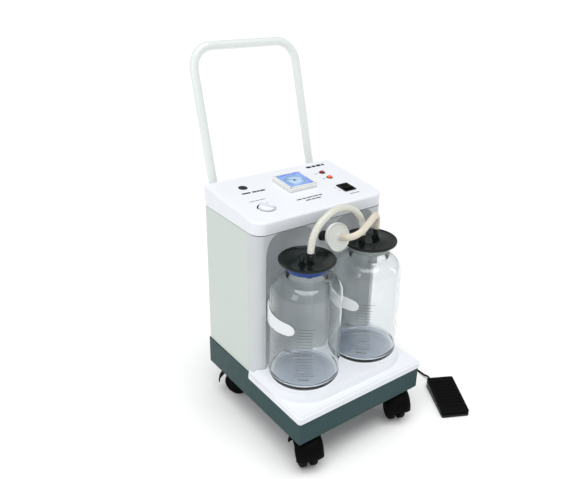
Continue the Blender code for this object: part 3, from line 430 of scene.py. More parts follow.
def dress_cad_nodes():
    slots = {part["node"]: part["material_slot"] for part in frame["record"]["subparts"]}
    for name, node in frame["nodes"].items():
        node.data.materials.clear()
        node.data.materials.append(CAD_FINISHES[slots[name]])
        for leftover in [a for a in node.data.attributes if a.name == "custom_normal"]:
            node.data.attributes.remove(leftover)
        weld = node.modifiers.new("weld", "WELD")
        weld.merge_threshold = 0.00001
        node.data.shade_smooth()
        if name in ROUNDED_NODES:
            rounding = node.modifiers.new("rounding", "BEVEL")
            rounding.width = ROUNDED_NODES[name]
            rounding.segments = 3
            rounding.limit_method = "ANGLE"
            rounding.angle_limit = math.radians(24)
            rounding.harden_normals = True
        else:
            split = node.modifiers.new("edges", "EDGE_SPLIT")
            split.split_angle = math.radians(35)


# Cabinet


def cover_top(y):
    """The height of the sloping control face at a place from front to back."""
    return COVER_FRONT_TOP + (y - COVER_FRONT) * math.tan(COVER_SLOPE)


def face_matrix(x, y, lift=0.0, turn=0.0):
    """A place on the sloping control face, its +Z square to it, turned about that by degrees."""
    normal = Vector((0, -math.sin(COVER_SLOPE), math.cos(COVER_SLOPE)))
    place = Vector((x, y, cover_top(y))) + lift * normal
    return Matrix.Translation(place) @ Matrix.Rotation(COVER_SLOPE, 4, "X") @ Matrix.Rotation(math.radians(turn), 4,
                                                                                              "Z")


def build_cover():
    """A loft: the skirt rises with a slight draft, then rolls softly into the sloping top."""
    levels = [(0.0, 0.0012), (0.30, 0.0006), (0.62, 0.0)]
    roll = 0.0042
    bm = bmesh.new()
    rings = []

    def ring(inset, height_of):
        outline = rounded_rectangle(
            -COVER_HALF + inset, COVER_HALF - inset, COVER_FRONT + inset, COVER_REAR - inset, 0.026 - inset * 0.6,
            0.007 - inset * 0.4, 12
        )
        rings.append([bm.verts.new((x, y, height_of(x, y))) for x, y in outline])

    for share, inset in levels:
        ring(inset, lambda x, y, s=share: COVER_BOTTOM + 0.0014 + s * (cover_top(y) - roll - COVER_BOTTOM - 0.0014))
    for step in range(0, 9):
        a = math.radians(90 * step / 8)
        ring(roll * (1 - math.cos(a)), lambda x, y, a=a: cover_top(y) - roll + roll * math.sin(a))
    for one, other in zip(rings, rings[1:]):
        for i in range(len(one)):
            j = (i + 1) % len(one)
            bm.faces.new((one[i], one[j], other[j], other[i]))
    bm.faces.new(rings[-1])
    bm.faces.new(rings[0][::-1])
    piece("cover_skin", bm, WHITE, instead_of=["top_cover"], slot="white_moulding", smooth=40)


def panel_ring(z):
    """The front panel's plan at one height: rounded columns and the round recess behind each jar."""
    top = COVER_BOTTOM - 0.0003
    start = 0.405
    lid_way = LID_RADIUS + 0.0018
    radius = RECESS_RADIUS
    if z > start:
        share = min(1.0, (z - start) / (top - start))
        radius = lid_way + (RECESS_RADIUS - lid_way) * math.sqrt(max(0.0, 1 - share**2))
    reach = JAR_Y - PANEL_FACE
    half_angle = math.degrees(math.asin(min(1.0, abs(reach) / radius)))
    corner = 0.020
    outline = arc(-PANEL_HALF + corner, PANEL_FACE + corner, corner, 180, 270, 12)
    outline += arc(-JAR_X, JAR_Y, radius, 180 - half_angle, half_angle, 48)
    outline += arc(JAR_X, JAR_Y, radius, 180 - half_angle, half_angle, 48)
    outline += arc(PANEL_HALF - corner, PANEL_FACE + corner, corner, 270, 360, 12)
    return outline + [(PANEL_HALF, CABINET_FRONT), (-PANEL_HALF, CABINET_FRONT)]


def build_front_panel():
    top = COVER_BOTTOM - 0.0003
    heights = [PANEL_BOTTOM, 0.20, 0.30, 0.40, 0.405]
    heights += [0.405 + (top - 0.405) * math.sin(math.radians(7.5 * i)) for i in range(1, 13)]
    bm = bmesh.new()
    rings = [[bm.verts.new((x, y, z)) for x, y in panel_ring(z)] for z in heights]
    for one, other in zip(rings, rings[1:]):
        for i in range(len(one)):
            j = (i + 1) % len(one)
            bm.faces.new((one[i], one[j], other[j], other[i]))
    bm.faces.new(rings[-1])
    bm.faces.new(rings[0][::-1])
    # The front panel takes the darkened white: painted shade.
    piece("front_panel_skin", bm, PANEL_SHADED_WHITE, instead_of=["front_panel"], slot="white_moulding", bevel=0.0022,
          smooth=38)
    back = box(-PANEL_HALF + 0.0015, PANEL_HALF - 0.0015, CABINET_FRONT - 0.001, CABINET_FRONT + 0.0009, 0.142,
               0.4560)
    piece("cabinet_seam", back, SEAM, slot="black_plastic")
    lip = prism(
        rounded_rectangle(-COVER_HALF + 0.0030, COVER_HALF - 0.0030, COVER_FRONT + 0.0026, COVER_REAR - 0.003,
                          0.023, 0.005),
        COVER_BOTTOM - 0.0003, COVER_BOTTOM + 0.0018
    )
    piece("cover_seam", lip, SEAM, slot="black_plastic")


# Controls and prints on the sloping face


def face_piece(name, bm, material, x, y, lift=0.0, turn=0.0, slot="black_plastic", body="frame", **more):
    return piece(name, bm, material, body=body, turn=face_matrix(x, y, lift, turn), slot=slot, **more)


def plate(half_x, half_y, height=0.00012, corner=0.0002):
    return prism(rounded_rectangle(-half_x, half_x, -half_y, half_y, corner, corner, 2), 0.0, height)


def bar_row(name, x, y, turn, widths, height, material, gap=0.0012):
    """A line of small bars that stands where a printed word was."""
    total = sum(widths) + gap * (len(widths) - 1)
    parts, left = [], -total / 2
    for width in widths:
        parts.append((plate(width / 2, height / 2), move(left + width / 2, 0, 0)))
        left += width + gap
    return face_piece(name, joined(*parts), material, x, y, 0.00005, turn)


def ring_arc(radius, thickness, start, end, height=0.00012, steps=40):
    """A flat arc, angles in degrees."""
    outline = arc(0, 0, radius + thickness / 2, start, end, steps) + arc(0, 0, radius - thickness / 2, end, start,
                                                                         steps)
    return prism(outline, 0.0, height)


def build_prints():
    disc = lathe([(0, 0.0), (0.0095, 0.0), (0.0095, 0.00012), (0, 0.00012)], 48)
    face_piece("emblem", disc, INK, -0.0965, 0.0985, 0.00005)
    rows = [
        ("name_bar_left", -0.1040, 0.0735, -2, [0.0190], 0.0052, INK),
        ("name_bar_right", -0.0755, 0.0725, -2, [0.009, 0.006, 0.012], 0.0054, INK),
        ("model_bar", 0.1080, 0.1265, 0, [0.012, 0.009, 0.012, 0.006], 0.0085, INK, 0.003),
        ("title_upper", 0.0010, 0.0030, 0, [0.012, 0.009, 0.014, 0.012, 0.008], 0.0034, INK, 0.002),
        ("title_lower", 0.0040, -0.0065, 0, [0.012, 0.009, 0.012], 0.0034, INK, 0.002),
        ("knob_caption", -0.1010, 0.0370, 0, [0.012, 0.010, 0.012], 0.0016, INK),
        ("lamp_caption_upper", 0.0840, 0.0905, 0, [0.004, 0.003], 0.0016, INK),
        ("lamp_caption_lower", 0.0840, 0.0630, 0, [0.004, 0.002], 0.0016, INK),
        ("switch_caption_on", 0.0770, 0.0150, 0, [0.003], 0.0014, INK),
        ("switch_caption_off", 0.0770, 0.0000, 0, [0.003], 0.0014, INK),
        ("switch_caption", 0.1000, -0.0220, 0, [0.008, 0.005, 0.008], 0.0022, INK),
    ]
    for row in rows:
        bar_row(*row)
    for name, start, end, width in (("left", 100, 170, 0.0024), ("right", 20, 62, 0.0020)):
        face_piece(f"knob_arc_{name}", ring_arc(0.0185, width, start, end), INK, -0.102, 0.002, 0.00005)
    face_piece("knob_ring", ring_arc(0.0172, 0.0008, 0, 359.9, steps=96), INK, -0.102, 0.002, 0.00005)


def build_gauge():
    x, y = 0.011, 0.0695
    block = prism(rounded_rectangle(-0.0345, 0.0345, -0.0345, 0.0345, 0.004, 0.004), 0.0003, 0.0078)
    well = prism(rounded_rectangle(-0.0300, 0.0300, -0.0300, 0.0300, 0.0015, 0.0015, 3), 0.0078, 0.0080)
    face_piece("gauge_block", block, GAUGE_WHITE, x, y, slot="gauge_white", bevel=0.0010, smooth=40,
               instead_of=["gauge_body", "gauge_dial", "gauge_window"])
    face_piece("dial_print", well, DIAL, x, y, slot="dial_blue")
    frame_bars = []
    for turn in (0, 90, 180, 270):
        frame_bars.append((plate(0.0300, 0.0012), Matrix.Rotation(math.radians(turn), 4, "Z") @ move(0, 0.0288, 0)))
    face_piece("dial_frame", joined(*frame_bars), BLUE_FRAME, x, y, 0.0081, slot="dial_blue")
    face_piece("dial_circle", ring_arc(0.0210, 0.0004, 0, 359.9, steps=96), INK, x, y, 0.0081)
    ticks = []
    for i in range(41):
        angle = math.radians(225 - 270 * i / 40)
        long = 0.0034 if i % 5 == 0 else 0.0017
        place = Matrix.Rotation(angle, 4, "Z") @ move(0.0210 - long / 2, 0, 0)
        ticks.append((plate(long / 2, 0.00035 if i % 5 == 0 else 0.00018), place))
    for i in range(9):
        angle = math.radians(225 - 270 * i / 8)
        ticks.append((plate(0.0012, 0.0005), move(0.0243 * math.cos(angle), 0.0243 * math.sin(angle), 0)))
    face_piece("dial_ticks", joined(*ticks), INK, x, y, 0.0081)
    needle = joined((prism([(-0.0007, -0.006), (0.0007, -0.006), (0.0003, 0.019), (-0.0003, 0.019)], 0.0083,
                           0.0087), move(0, 0, 0)),
                    (lathe([(0, 0.0082), (0.0030, 0.0082), (0.0028, 0.0093), (0, 0.0095)], 40), move(0, 0, 0)))
    face_piece("needle_hand", needle, INK, x, y, turn=60, body="gauge_hand", instead_of=["gauge_needle"])
    pane = prism(rounded_rectangle(-0.0299, 0.0299, -0.0299, 0.0299, 0.0015, 0.0015, 3), 0.0099, 0.0104)
    glass = face_piece("gauge_pane", pane, WINDOW, x, y, slot="clear_plastic")
    glass.visible_shadow = False
    rim = []
    for turn in (0, 90, 180, 270):
        bar = box(-0.0322, 0.0322, 0.0298, 0.0322, 0.0076, 0.0108)
        rim.append((bar, Matrix.Rotation(math.radians(turn), 4, "Z")))
    face_piece("gauge_rim", joined(*rim), GAUGE_WHITE, x, y, slot="gauge_white", bevel=0.0006, smooth=40)


def build_knob():
    """A low white disc with a raised grip, its pointer towards the lower right."""
    turn = -150
    disc = [(0, 0.0006), (0.0152, 0.0006), (0.0155, 0.0010), (0.0155, 0.0030), (0.0148, 0.0040), (0.0138, 0.0043),
            (0, 0.0043)]
    grip = prism(rounded_rectangle(-0.0032, 0.0032, -0.0142, 0.0142, 0.003, 0.003, 6), 0.0040, 0.0105)
    shape = joined((lathe(disc, 72), move(0, 0, 0)), (grip, move(0, 0, 0)))
    face_piece("knob_cap", shape, WHITE, -0.102, 0.002, turn=turn, body="regulator_knob", slot="white_moulding",
               instead_of=["vacuum_knob"], bevel=0.0007, smooth=40)
    mark = plate(0.0005, 0.0028)
    face_piece("knob_pointer", mark, INK, -0.102, 0.002, 0.0106, turn, body="regulator_knob")


def build_lamps():
    for name, (x, y) in (("red", (0.100, 0.0905)), ("orange", (0.0996, 0.063))):
        ring = lathe([(0.0056, 0.0001), (0.0070, 0.0001), (0.0068, 0.0010), (0.0058, 0.0012)], 64)
        face_piece(f"lamp_{name}_ring", ring, BLACK, x, y, smooth=50)
        dome = [(0, 0.0048)] + [(0.0056 * math.sin(a), 0.0004 + 0.0044 * math.cos(a))
                                for a in [math.radians(11.25 * i) for i in range(1, 9)]] + [(0, 0.0002)]
        face_piece(f"lamp_{name}_dome", lathe(dome, 64), LAMP_RED if name == "red" else LAMP_ORANGE, x, y,
                   slot=f"lamp_{name}", instead_of=[f"lamp_{name}"], smooth=60)


def build_rocker():
    """A rocker with a hollowed top, moulded in black."""
    pivot = face_matrix(0.0995, 0.0063, -0.002) @ Matrix.Rotation(math.radians(-9), 4, "X")
    half, top = 0.0122, []
    for i in range(17):
        y = -half + 2 * half * i / 16
        top.append((y, 0.0046 + 0.0014 * (abs(y) / half) ** 1.6))
    bm = bmesh.new()
    sides = []
    for x in (-0.0102, 0.0102):
        sides.append([bm.verts.new((x, y, z)) for y, z in [(half, -0.001), (-half, -0.001)] + top])
    near, far = sides
    bm.faces.new(near)
    bm.faces.new(far[::-1])
    for i in range(len(near)):
        j = (i + 1) % len(near)
        bm.faces.new((near[i], far[i], far[j], near[j]))
    piece("rocker_shell", bm, RUBBER, body="rocker", turn=pivot, instead_of=["power_switch_rocker"],
          slot="black_plastic",
          bevel=0.0005, smooth=40)


# Jars, lids and clips


def jar_glass_profile():
    """Outside from the bottom's middle up to the mouth and inside back down, with a rolled rim and a pushed-up bottom."""
    wall = 0.0032
    shoulder = JAR_MOUTH - 0.0235
    drop = shoulder - JAR_SHOULDER
    steps = [math.radians(7.5 * i) for i in range(1, 13)]
    outside = [(0, JAR_BOTTOM + 0.0030), (0.012, JAR_BOTTOM + 0.0028), (0.014, JAR_BOTTOM + 0.0022),
               (0.016, JAR_BOTTOM + 0.0027), (0.036, JAR_BOTTOM + 0.0020), (0.050, JAR_BOTTOM + 0.0010),
               (0.055, JAR_BOTTOM)]
    outside += arc(JAR_RADIUS - 0.011, JAR_BOTTOM + 0.011, 0.011, -85, 0, 10)
    outside += [(JAR_RADIUS, JAR_BOTTOM + 0.05), (JAR_RADIUS, JAR_SHOULDER)]
    outside += [(NECK_RADIUS + (JAR_RADIUS - NECK_RADIUS) * math.cos(a) ** 0.9, JAR_SHOULDER + drop * math.sin(a))
                for a in steps[:-1]]
    outside += [(NECK_RADIUS, shoulder), (NECK_RADIUS, JAR_MOUTH - 0.010)]
    outside += arc(NECK_RADIUS - 0.0010, JAR_MOUTH - 0.0030, 0.0022, -60, 90, 8)
    inner, throat = JAR_RADIUS - wall, NECK_RADIUS - wall
    inside = [(throat + 0.001, JAR_MOUTH - 0.0003), (throat, JAR_MOUTH - 0.002), (throat, shoulder - 0.002)]
    inside += [(throat + (inner - throat) * math.cos(a) ** 0.9, JAR_SHOULDER + (drop - wall) * math.sin(a))
               for a in steps[-2::-1]]
    inside += [(inner, JAR_SHOULDER), (inner, JAR_BOTTOM + 0.020)]
    inside += arc(inner - 0.013, JAR_BOTTOM + 0.020, 0.013, 0, -80, 8)
    return outside + inside + [(0.030, JAR_BOTTOM + 0.0085), (0, JAR_BOTTOM + 0.0100)]


def band(radius, z0, z1, start, end, thickness=0.0002, steps=24):
    """A thin strip on a cylinder about Z, angles in degrees."""
    outline = arc(0, 0, radius + thickness, start, end, steps) + arc(0, 0, radius, end, start, steps)
    return prism(outline, z0, z1)


def graduations(towards):
    """Printed volume marks: fine lines, longer at the numbered ones, a row of blocks for a number, a second scale."""
    parts = []
    r = JAR_RADIUS + 0.0001
    for i in range(17):
        z = 0.196 + 0.0066 * i
        half = 17 if i % 8 == 0 else 13
        parts.append((band(r, z, z + 0.0006, towards - half, towards + half), move(0, 0, 0)))
    for i in range(9):
        z = 0.215 + 0.0130 * i
        parts.append((band(r, z, z + 0.0006, towards - 62, towards - 53), move(0, 0, 0)))
    for z in (0.2488, 0.3016):
        for k in range(4):
            start = towards - 32 + 3.4 * k
            parts.append((band(r, z - 0.0010, z + 0.0016, start, start + 1.9), move(0, 0, 0)))
    for k in range(5):
        start = towards - 8 + 3.6 * k
        parts.append((band(r, 0.1865, 0.1890, start, start + 2.0), move(0, 0, 0)))
    return joined(*parts)


def build_jars():
    for name, side, towards in (("left", -1, 232.0), ("right", 1, 226.0)):
        place = (side * JAR_X, JAR_Y, 0)
        glass = piece(f"jar_{name}_glass", lathe(jar_glass_profile(), 128), JAR_GLASS, at=place,
                      instead_of=[f"jar_{name}"], slot="jar_glass", smooth=60)
        glass.data.materials.append(JAR_BASE_SHADE_GLASS)
        # The bottom's faces take the dark glass: painted shade.
        for face in glass.data.polygons:
            face.material_index = 1 if face.center.z < JAR_BOTTOM + 0.012 and math.hypot(*face.center[:2]) < 0.066 else 0
        glass.visible_shadow = False
        marks = piece(f"jar_{name}_marks", graduations(towards), SCALE_INK, at=place, slot="black_plastic")
        marks.visible_shadow = False
        build_clip(name, place)


def build_clip(name, place):
    """A springy white arm that reaches round a jar's left side from the recess behind it, with a rounded tip."""
    inner, outer = JAR_RADIUS + 0.0006, JAR_RADIUS + 0.0034
    start, reach, tip = 53.0, 92.0, 12.0
    turns = [tip * (1 - math.cos(math.radians(9 * i))) for i in range(11)]
    turns += [tip + (reach - tip) * i / 36 for i in range(1, 37)]
    bm = bmesh.new()
    loops = []
    for turn in turns:
        near = min(1.0, turn / tip)
        half = max(0.0008, (0.0112 + 0.0058 * turn / reach) * math.sqrt(1 - (1 - near) ** 2))
        middle = 0.297 + 0.0050 * turn / reach
        a = math.radians(-90 - start - turn)
        corners = ((inner, -half), (outer, -half), (outer, half), (inner, half))
        loops.append([bm.verts.new((r * math.cos(a), r * math.sin(a), middle + z)) for r, z in corners])
    for one, other in zip(loops, loops[1:]):
        for i in range(4):
            j = (i + 1) % 4
            bm.faces.new((one[i], one[j], other[j], other[i]))
    bm.faces.new(loops[0])
    bm.faces.new(loops[-1][::-1])
    piece(f"clip_{name}_arm", bm, CLIP, at=place, instead_of=[f"jar_clip_{name}"], slot="clip_white", bevel=0.0008,
          smooth=45)


def spigot():
    """A barbed port with a hexagonal foot, hollow at its top."""
    base = LID_TOP - 0.0014
    barbs = [(0.0044, base)]
    for i in range(3):
        z = LID_TOP + 0.0065 + 0.0045 * i
        barbs += [(0.0038, z), (0.0044, z + 0.0003), (0.0038, z + 0.0040)]
    return [(0, base)] + barbs + [(0.0036, LID_TOP + 0.0207), (0.0026, LID_TOP + 0.0207), (0.0026, LID_TOP + 0.004),
                                  (0, LID_TOP + 0.004)]


def lid_profile():
    rim, top = LID_RADIUS, LID_TOP
    return [(0, LID_UNDER + 0.004), (0.028, LID_UNDER + 0.004), (0.0285, LID_UNDER - 0.0145),
            (0.0291, LID_UNDER - 0.0145),
            (0.0292, LID_UNDER + 0.0002), (0.0430, LID_UNDER + 0.0002), (rim - 0.0028, LID_UNDER + 0.0052),
            (rim - 0.0006, LID_UNDER + 0.0068), (rim, LID_UNDER + 0.0084), (rim, top - 0.0022),
            (rim - 0.0006, top - 0.0006),
            (rim - 0.0020, top), (rim - 0.0044, top), (rim - 0.0054, top - 0.0005), (rim - 0.0064, top - 0.0014),
            (0.022, top - 0.0014), (0.0212, top - 0.0010), (0.0202, top - 0.0014), (0, top - 0.0014)]


def build_lids():
    for name, side in (("left", -1), ("right", 1)):
        place = (side * JAR_X, JAR_Y, 0)
        parts = [(lathe(lid_profile(), 128), move(0, 0, 0))]
        for x, y in LID_PORTS[name]:
            parts.append((lathe(spigot(), 40), move(x, y, 0)))
            foot = prism(arc(0, 0, 0.0082, 0, 300, 5), LID_TOP - 0.0014, LID_TOP + 0.0016)
            parts.append((foot, move(x, y, 0)))
            collar = lathe([(0, LID_TOP), (0.0063, LID_TOP), (0.0060, LID_TOP + 0.0040), (0, LID_TOP + 0.0040)], 40)
            parts.append((collar, move(x, y, 0)))
        if name == "left":
            x, y = LID_PORTS["left"][1]
            stub = lathe([(0.0030, LID_UNDER + 0.004), (0.0030, 0.3850), (0.0060, 0.3850),
                          (0.0068, LID_UNDER + 0.004)], 40)
            parts.append((stub, move(x, y, 0)))
        piece(f"lid_{name}_moulding", joined(*parts), LID_BLACK, body="lid_set", at=place,
              instead_of=[f"lid_{name}"],
              slot="black_plastic", smooth=40)
        seal = [(0.0294, LID_UNDER - 0.0125), (0.0294, LID_UNDER + 0.0010), (0.0448, LID_UNDER + 0.0010),
                (0.0442, LID_UNDER - 0.0030), (0.0424, LID_UNDER - 0.0036), (0.0430, LID_UNDER - 0.0042),
                (0.0420, LID_UNDER - 0.0080), (0.0412, LID_UNDER - 0.0088), (0.0408, LID_UNDER - 0.0088),
                (0.0408, LID_UNDER - 0.0008), (0.0362, LID_UNDER - 0.0008), (0.0350, LID_UNDER - 0.0080),
                (0.0330, LID_UNDER - 0.0125)]
        piece(f"seal_{name}_ring", lathe(seal, 128), SEAL_BLUE if name == "left" else SEAL_CLEAR, body="lid_set",
              at=place,
              instead_of=[f"lid_seal_{name}"], slot="seal_blue" if name == "left" else "seal_clear", smooth=40)


# Tubes and filter

JUMPER_POINTS = [
    (-0.0856, -0.1191, 0.4222), (-0.0856, -0.1191, 0.4410), (-0.0800, -0.1175, 0.4660), (-0.0655, -0.1150, 0.4860),
    (-0.0430, -0.1120, 0.5000), (-0.0180, -0.1090, 0.5060), (0.0080, -0.1070, 0.5030), (0.0305, -0.1055, 0.4900),
    (0.0460, -0.1052, 0.4710), (0.0530, -0.1051, 0.4530), (0.0535, -0.1051, 0.4410), (0.0535, -0.1051, 0.4222),
]
FILTER_TUBE_POINTS = [
    (-0.0030, -0.10835, 0.44346), (-0.0030, -0.1155, 0.44576), (-0.0012, -0.1265, 0.4500),
    (0.0080, -0.1345, 0.4545),
    (0.0240, -0.1350, 0.4595), (0.0430, -0.1275, 0.4640), (0.0640, -0.1180, 0.4690), (0.0820, -0.1085, 0.4700),
    (0.0920, -0.1030, 0.4600), (0.0935, -0.1011, 0.4430), (0.0935, -0.1011, 0.4222),
]


def build_tubes():
    for name, points, material in (("jumper_tube", JUMPER_POINTS, SILICONE),
                                   ("filter_tube", FILTER_TUBE_POINTS, SILICONE_TAN)):
        route = smooth_route(points, 0.003)
        route = [place for place in route if place.z > LID_TOP + 0.017]
        hose = tube(f"{name}_hose", route, TUBE_RADIUS, material, "lid_set", [name])
    for x, y in (JUMPER_POINTS[0][:2], JUMPER_POINTS[-1][:2], FILTER_TUBE_POINTS[-1][:2]):
        sleeve = lathe([(0.0052, LID_TOP + 0.0018), (0.0068, LID_TOP + 0.0018), (0.0068, LID_TOP + 0.0175),
                        (0.0052, LID_TOP + 0.0175)], 48)
        wall = piece(f"sleeve_{round(1000 * x)}", sleeve, SPIGOT_SLEEVE, body="lid_set", at=(x, y, 0),
                     slot="silicone",
                     smooth=50)
        wall.visible_shadow = False


def build_filter():
    r = FILTER_RADIUS
    turn = move(FILTER_CENTRE) @ pointing(FILTER_AXIS)
    front = [(0, 0.0012), (r - 0.0042, 0.0012), (r - 0.0040, 0.0003), (r - 0.0004, 0.0003), (r, 0.0007),
             (r, 0.0026),
             (r - 0.0010, 0.0036), (r - 0.0030, 0.0036), (r - 0.0046, 0.0028), (0.019, 0.0046), (0.0100, 0.0066),
             (0.0078, 0.0080), (0.0072, 0.0096), (0.0070, 0.0125), (0.0055, 0.0130), (0, 0.0130)]
    back = [(radius, -height) for radius, height in front[::-1]]
    back[0], back[1], back[2] = (0, -0.0160), (0.0050, -0.0160), (0.0062, -0.0150)
    ribs = []
    for i in range(12):
        rib = box(0.008, r - 0.0055, -0.0004, 0.0004, 0.0030, 0.0062)
        ribs.append((rib, Matrix.Rotation(math.tau * i / 12, 4, "Z") @ Matrix.Rotation(0.13, 4, "Y")))
    piece("filter_front_shell", joined((lathe(front), move(0, 0, 0)), *ribs), MILKY, body="lid_set", turn=turn,
          instead_of=["filter_front"], slot="filter_plastic", smooth=40)
    piece("filter_back_shell", lathe(back), MILKY, body="lid_set", turn=turn, instead_of=["filter_back"],
          slot="filter_plastic", smooth=40)
    piece("filter_membrane", lathe([(0, -0.0007), (r - 0.0045, -0.0007), (r - 0.0045, 0.0007), (0, 0.0007)]),
          MEMBRANE,
          body="lid_set", turn=turn, slot="filter_plastic")
    root = move(NOZZLE_ROOT) @ pointing(FILTER_AXIS)
    nozzle = [(0, -0.004), (0.0105, -0.004), (0.0105, 0.0035), (0.0095, 0.0048), (0.0078, 0.0052)]
    for i in range(5):
        z = 0.0070 + 0.0046 * i
        nozzle += [(0.0066, z), (0.0078, z + 0.0006), (0.0070, z + 0.0038)]
    nozzle += [(0.0066, 0.0322), (0.0050, 0.0326), (0, 0.0326)]
    piece("nozzle_barb", lathe(nozzle, 64), BLACK, turn=root, instead_of=["panel_nozzle"], slot="black_rubber",
          smooth=40)


# Handle


def handle_route():
    lean = Vector((0, math.sin(HANDLE_LEAN), math.cos(HANDLE_LEAN)))
    knee = Vector((0, HANDLE_STAND, 0.4626))
    bend, top = 0.046, 0.7541
    rise = (top - knee.z) / math.cos(HANDLE_LEAN)
    points = [Vector((-HANDLE_HALF, HANDLE_STAND, 0.372 + 0.01 * i)) for i in range(8)]
    for i in range(7):
        a = HANDLE_LEAN * i / 6
        points.append(Vector((-HANDLE_HALF, HANDLE_STAND + 0.07 * (1 - math.cos(a)),
                              knee.z - 0.0097 + 0.07 * math.sin(a))))
    corner = knee + (rise - bend) * lean
    points += [Vector((-HANDLE_HALF, 0, 0)) + knee + (corner - knee) * t for t in (0.15, 0.3, 0.6)]
    for i in range(19):
        a = math.radians(5 * i)
        points.append(corner + bend * math.sin(a) * lean + Vector((-HANDLE_HALF + bend * (1 - math.cos(a)), 0, 0)))
    return points + [Vector((-p.x, p.y, p.z)) for p in points[::-1]]


def build_handle():
    tube("handle_tube", handle_route(), 0.009, ENAMEL, "frame", ["push_handle"], 12)
    for name, side in (("left", -1), ("right", 1)):
        for k, z in enumerate((0.378, 0.428)):
            screw = [(0, 0), (0.0036, 0), (0.0036, 0.0008), (0.0024, 0.0018), (0, 0.0020)]
            piece(f"socket_screw_{name}_{k}", lathe(screw, 32), STEEL, slot="steel",
                  turn=move(side * HANDLE_HALF, HANDLE_STAND + 0.0139, z) @ pointing((0, 1, 0)))


# Castors


def hood_shell():
    """A thin half-shell over both wheels, rounded off at its sides."""
    bm = bmesh.new()
    columns, rows = 40, 20
    centre_y, centre_z = CASTOR_TRAIL - 0.004, WHEEL_RADIUS + 0.004
    layers = []
    for radius, half in ((0.0385, 0.0290), (0.0365, 0.0270)):
        grid = []
        for i in range(columns + 1):
            around = math.radians(2 + 182 * i / columns)
            line = []
            for k in range(rows + 1):
                side = -1 + 2 * k / rows
                pull = radius * (1 - 0.18 * abs(side) ** 4)
                place = (side * half, centre_y + pull * math.cos(around), centre_z + pull * math.sin(around))
                line.append(bm.verts.new(place))
            grid.append(line)
        layers.append(grid)
    out, inn = layers
    for i in range(columns):
        for k in range(rows):
            bm.faces.new((out[i][k], out[i + 1][k], out[i + 1][k + 1], out[i][k + 1]))
            bm.faces.new((inn[i][k], inn[i][k + 1], inn[i + 1][k + 1], inn[i + 1][k]))
        for k in (0, rows):
            bm.faces.new((out[i][k], inn[i][k], inn[i + 1][k], out[i + 1][k]))
    for k in range(rows):
        for i in (0, columns):
            bm.faces.new((out[i][k], out[i][k + 1], inn[i][k + 1], inn[i][k]))
    return bm


def wheel_profile():
    r, w = WHEEL_RADIUS, 0.015
    return [(0.0034, 0.0005), (r - 0.0020, 0.0005), (r - 0.0006, 0.0010), (r, 0.0024), (r, w - 0.0055),
            (r - 0.0008, w - 0.0035),
            (r - 0.0024, w - 0.0020), (r - 0.0050, w - 0.0008), (r - 0.0090, w - 0.0002), (r - 0.0098, w - 0.0014),
            (r - 0.0130, w - 0.0014), (r - 0.0138, w - 0.0002), (0.0070, w), (0.0060, w - 0.0010),
            (0.0034, w - 0.0010)]


def build_castors():
    for name, heading in CASTOR_HEADINGS.items():
        x = -0.122 if "left" in name else 0.122
        y = -0.166 if "front" in name else 0.112
        pivot = move(x, y, 0) @ Matrix.Rotation(math.radians(-heading), 4, "Z")
        across = Matrix.Rotation(math.radians(90), 4, "Y")
        centre = move(0, CASTOR_TRAIL, WHEEL_RADIUS)
        stem = lathe([(0, 0.060), (0.0105, 0.060), (0.0140, 0.064), (0.0140, 0.0735), (0.0125, 0.0745),
                      (0.0054, 0.0745),
                      (0.0054, 0.114), (0, 0.115)], 48)
        web = prism(rounded_rectangle(-0.0035, 0.0035, -0.010, 0.030, 0.002, 0.002, 3), 0.020, 0.062)
        axle = lathe([(0, -0.0196), (0.0030, -0.0196), (0.0030, 0.0196), (0, 0.0196)], 32)
        hood = joined((hood_shell(), move(0, 0, 0)), (stem, move(0, 0, 0)), (web, move(0, 0, 0)),
                      (axle, centre @ across))
        piece(f"castor_{name}_cover", hood, CASTOR_BLACK, body=f"{name}_castor", turn=pivot,
              instead_of=[f"castor_{name}_hood"], slot="black_plastic", bevel=0.0004, smooth=42, segments=2)
        for label, side in (("left", -1), ("right", 1)):
            turn = pivot @ move(side * 0.0045, CASTOR_TRAIL, WHEEL_RADIUS)
            turn = turn @ (across if side > 0 else Matrix.Rotation(math.radians(-90), 4, "Y"))
            piece(f"castor_{name}_tyre_{label}", lathe(wheel_profile(), 72), CASTOR_BLACK,
                  body=f"{name}_{label}_wheel",
                  turn=turn, instead_of=[f"castor_{name}_wheel_{label}"], slot="black_rubber", smooth=40)


# Foot switch and cord

SWITCH_TURN = math.radians(-28)
SWITCH_PLACE = Vector((0.2548, -0.2157, 0.0))
SWITCH_LENGTH = 0.118
SWITCH_REAR, SWITCH_FRONT = 0.0225, 0.013
JACK = Vector((0.118, 0.1463, 0.172))
COIL = Vector((0.160, 0.236, 0.0))
CORD_RADIUS = 0.00225
CORD_LENGTH = 1.8


def build_foot_switch():
    """Raised treads across the pedal."""
    pivot = move(SWITCH_PLACE) @ Matrix.Rotation(SWITCH_TURN, 4, "Z")
    slope = math.atan2(SWITCH_REAR - SWITCH_FRONT, SWITCH_LENGTH)
    treads = []
    for i in range(9):
        y = -0.036 + 0.010 * i
        z = SWITCH_FRONT + (SWITCH_REAR - SWITCH_FRONT) * (y + SWITCH_LENGTH / 2) / SWITCH_LENGTH
        tread = prism(rounded_rectangle(-0.0255, 0.0255, -0.0017, 0.0017, 0.0016, 0.0016, 4), -0.0006, 0.0009)
        treads.append((tread, move(0, y, z) @ Matrix.Rotation(slope, 4, "X")))
    piece("pedal_treads", joined(*treads), RUBBER, body="foot_pedal", turn=pivot, slot="black_rubber", bevel=0.0003,
          smooth=40)


COIL_RADIUS = 0.0275
COIL_TRACKS = 3  # turns side by side in a layer
COIL_CROSSING = 0.25  # the last share of a turn, where the cord moves over to the next track


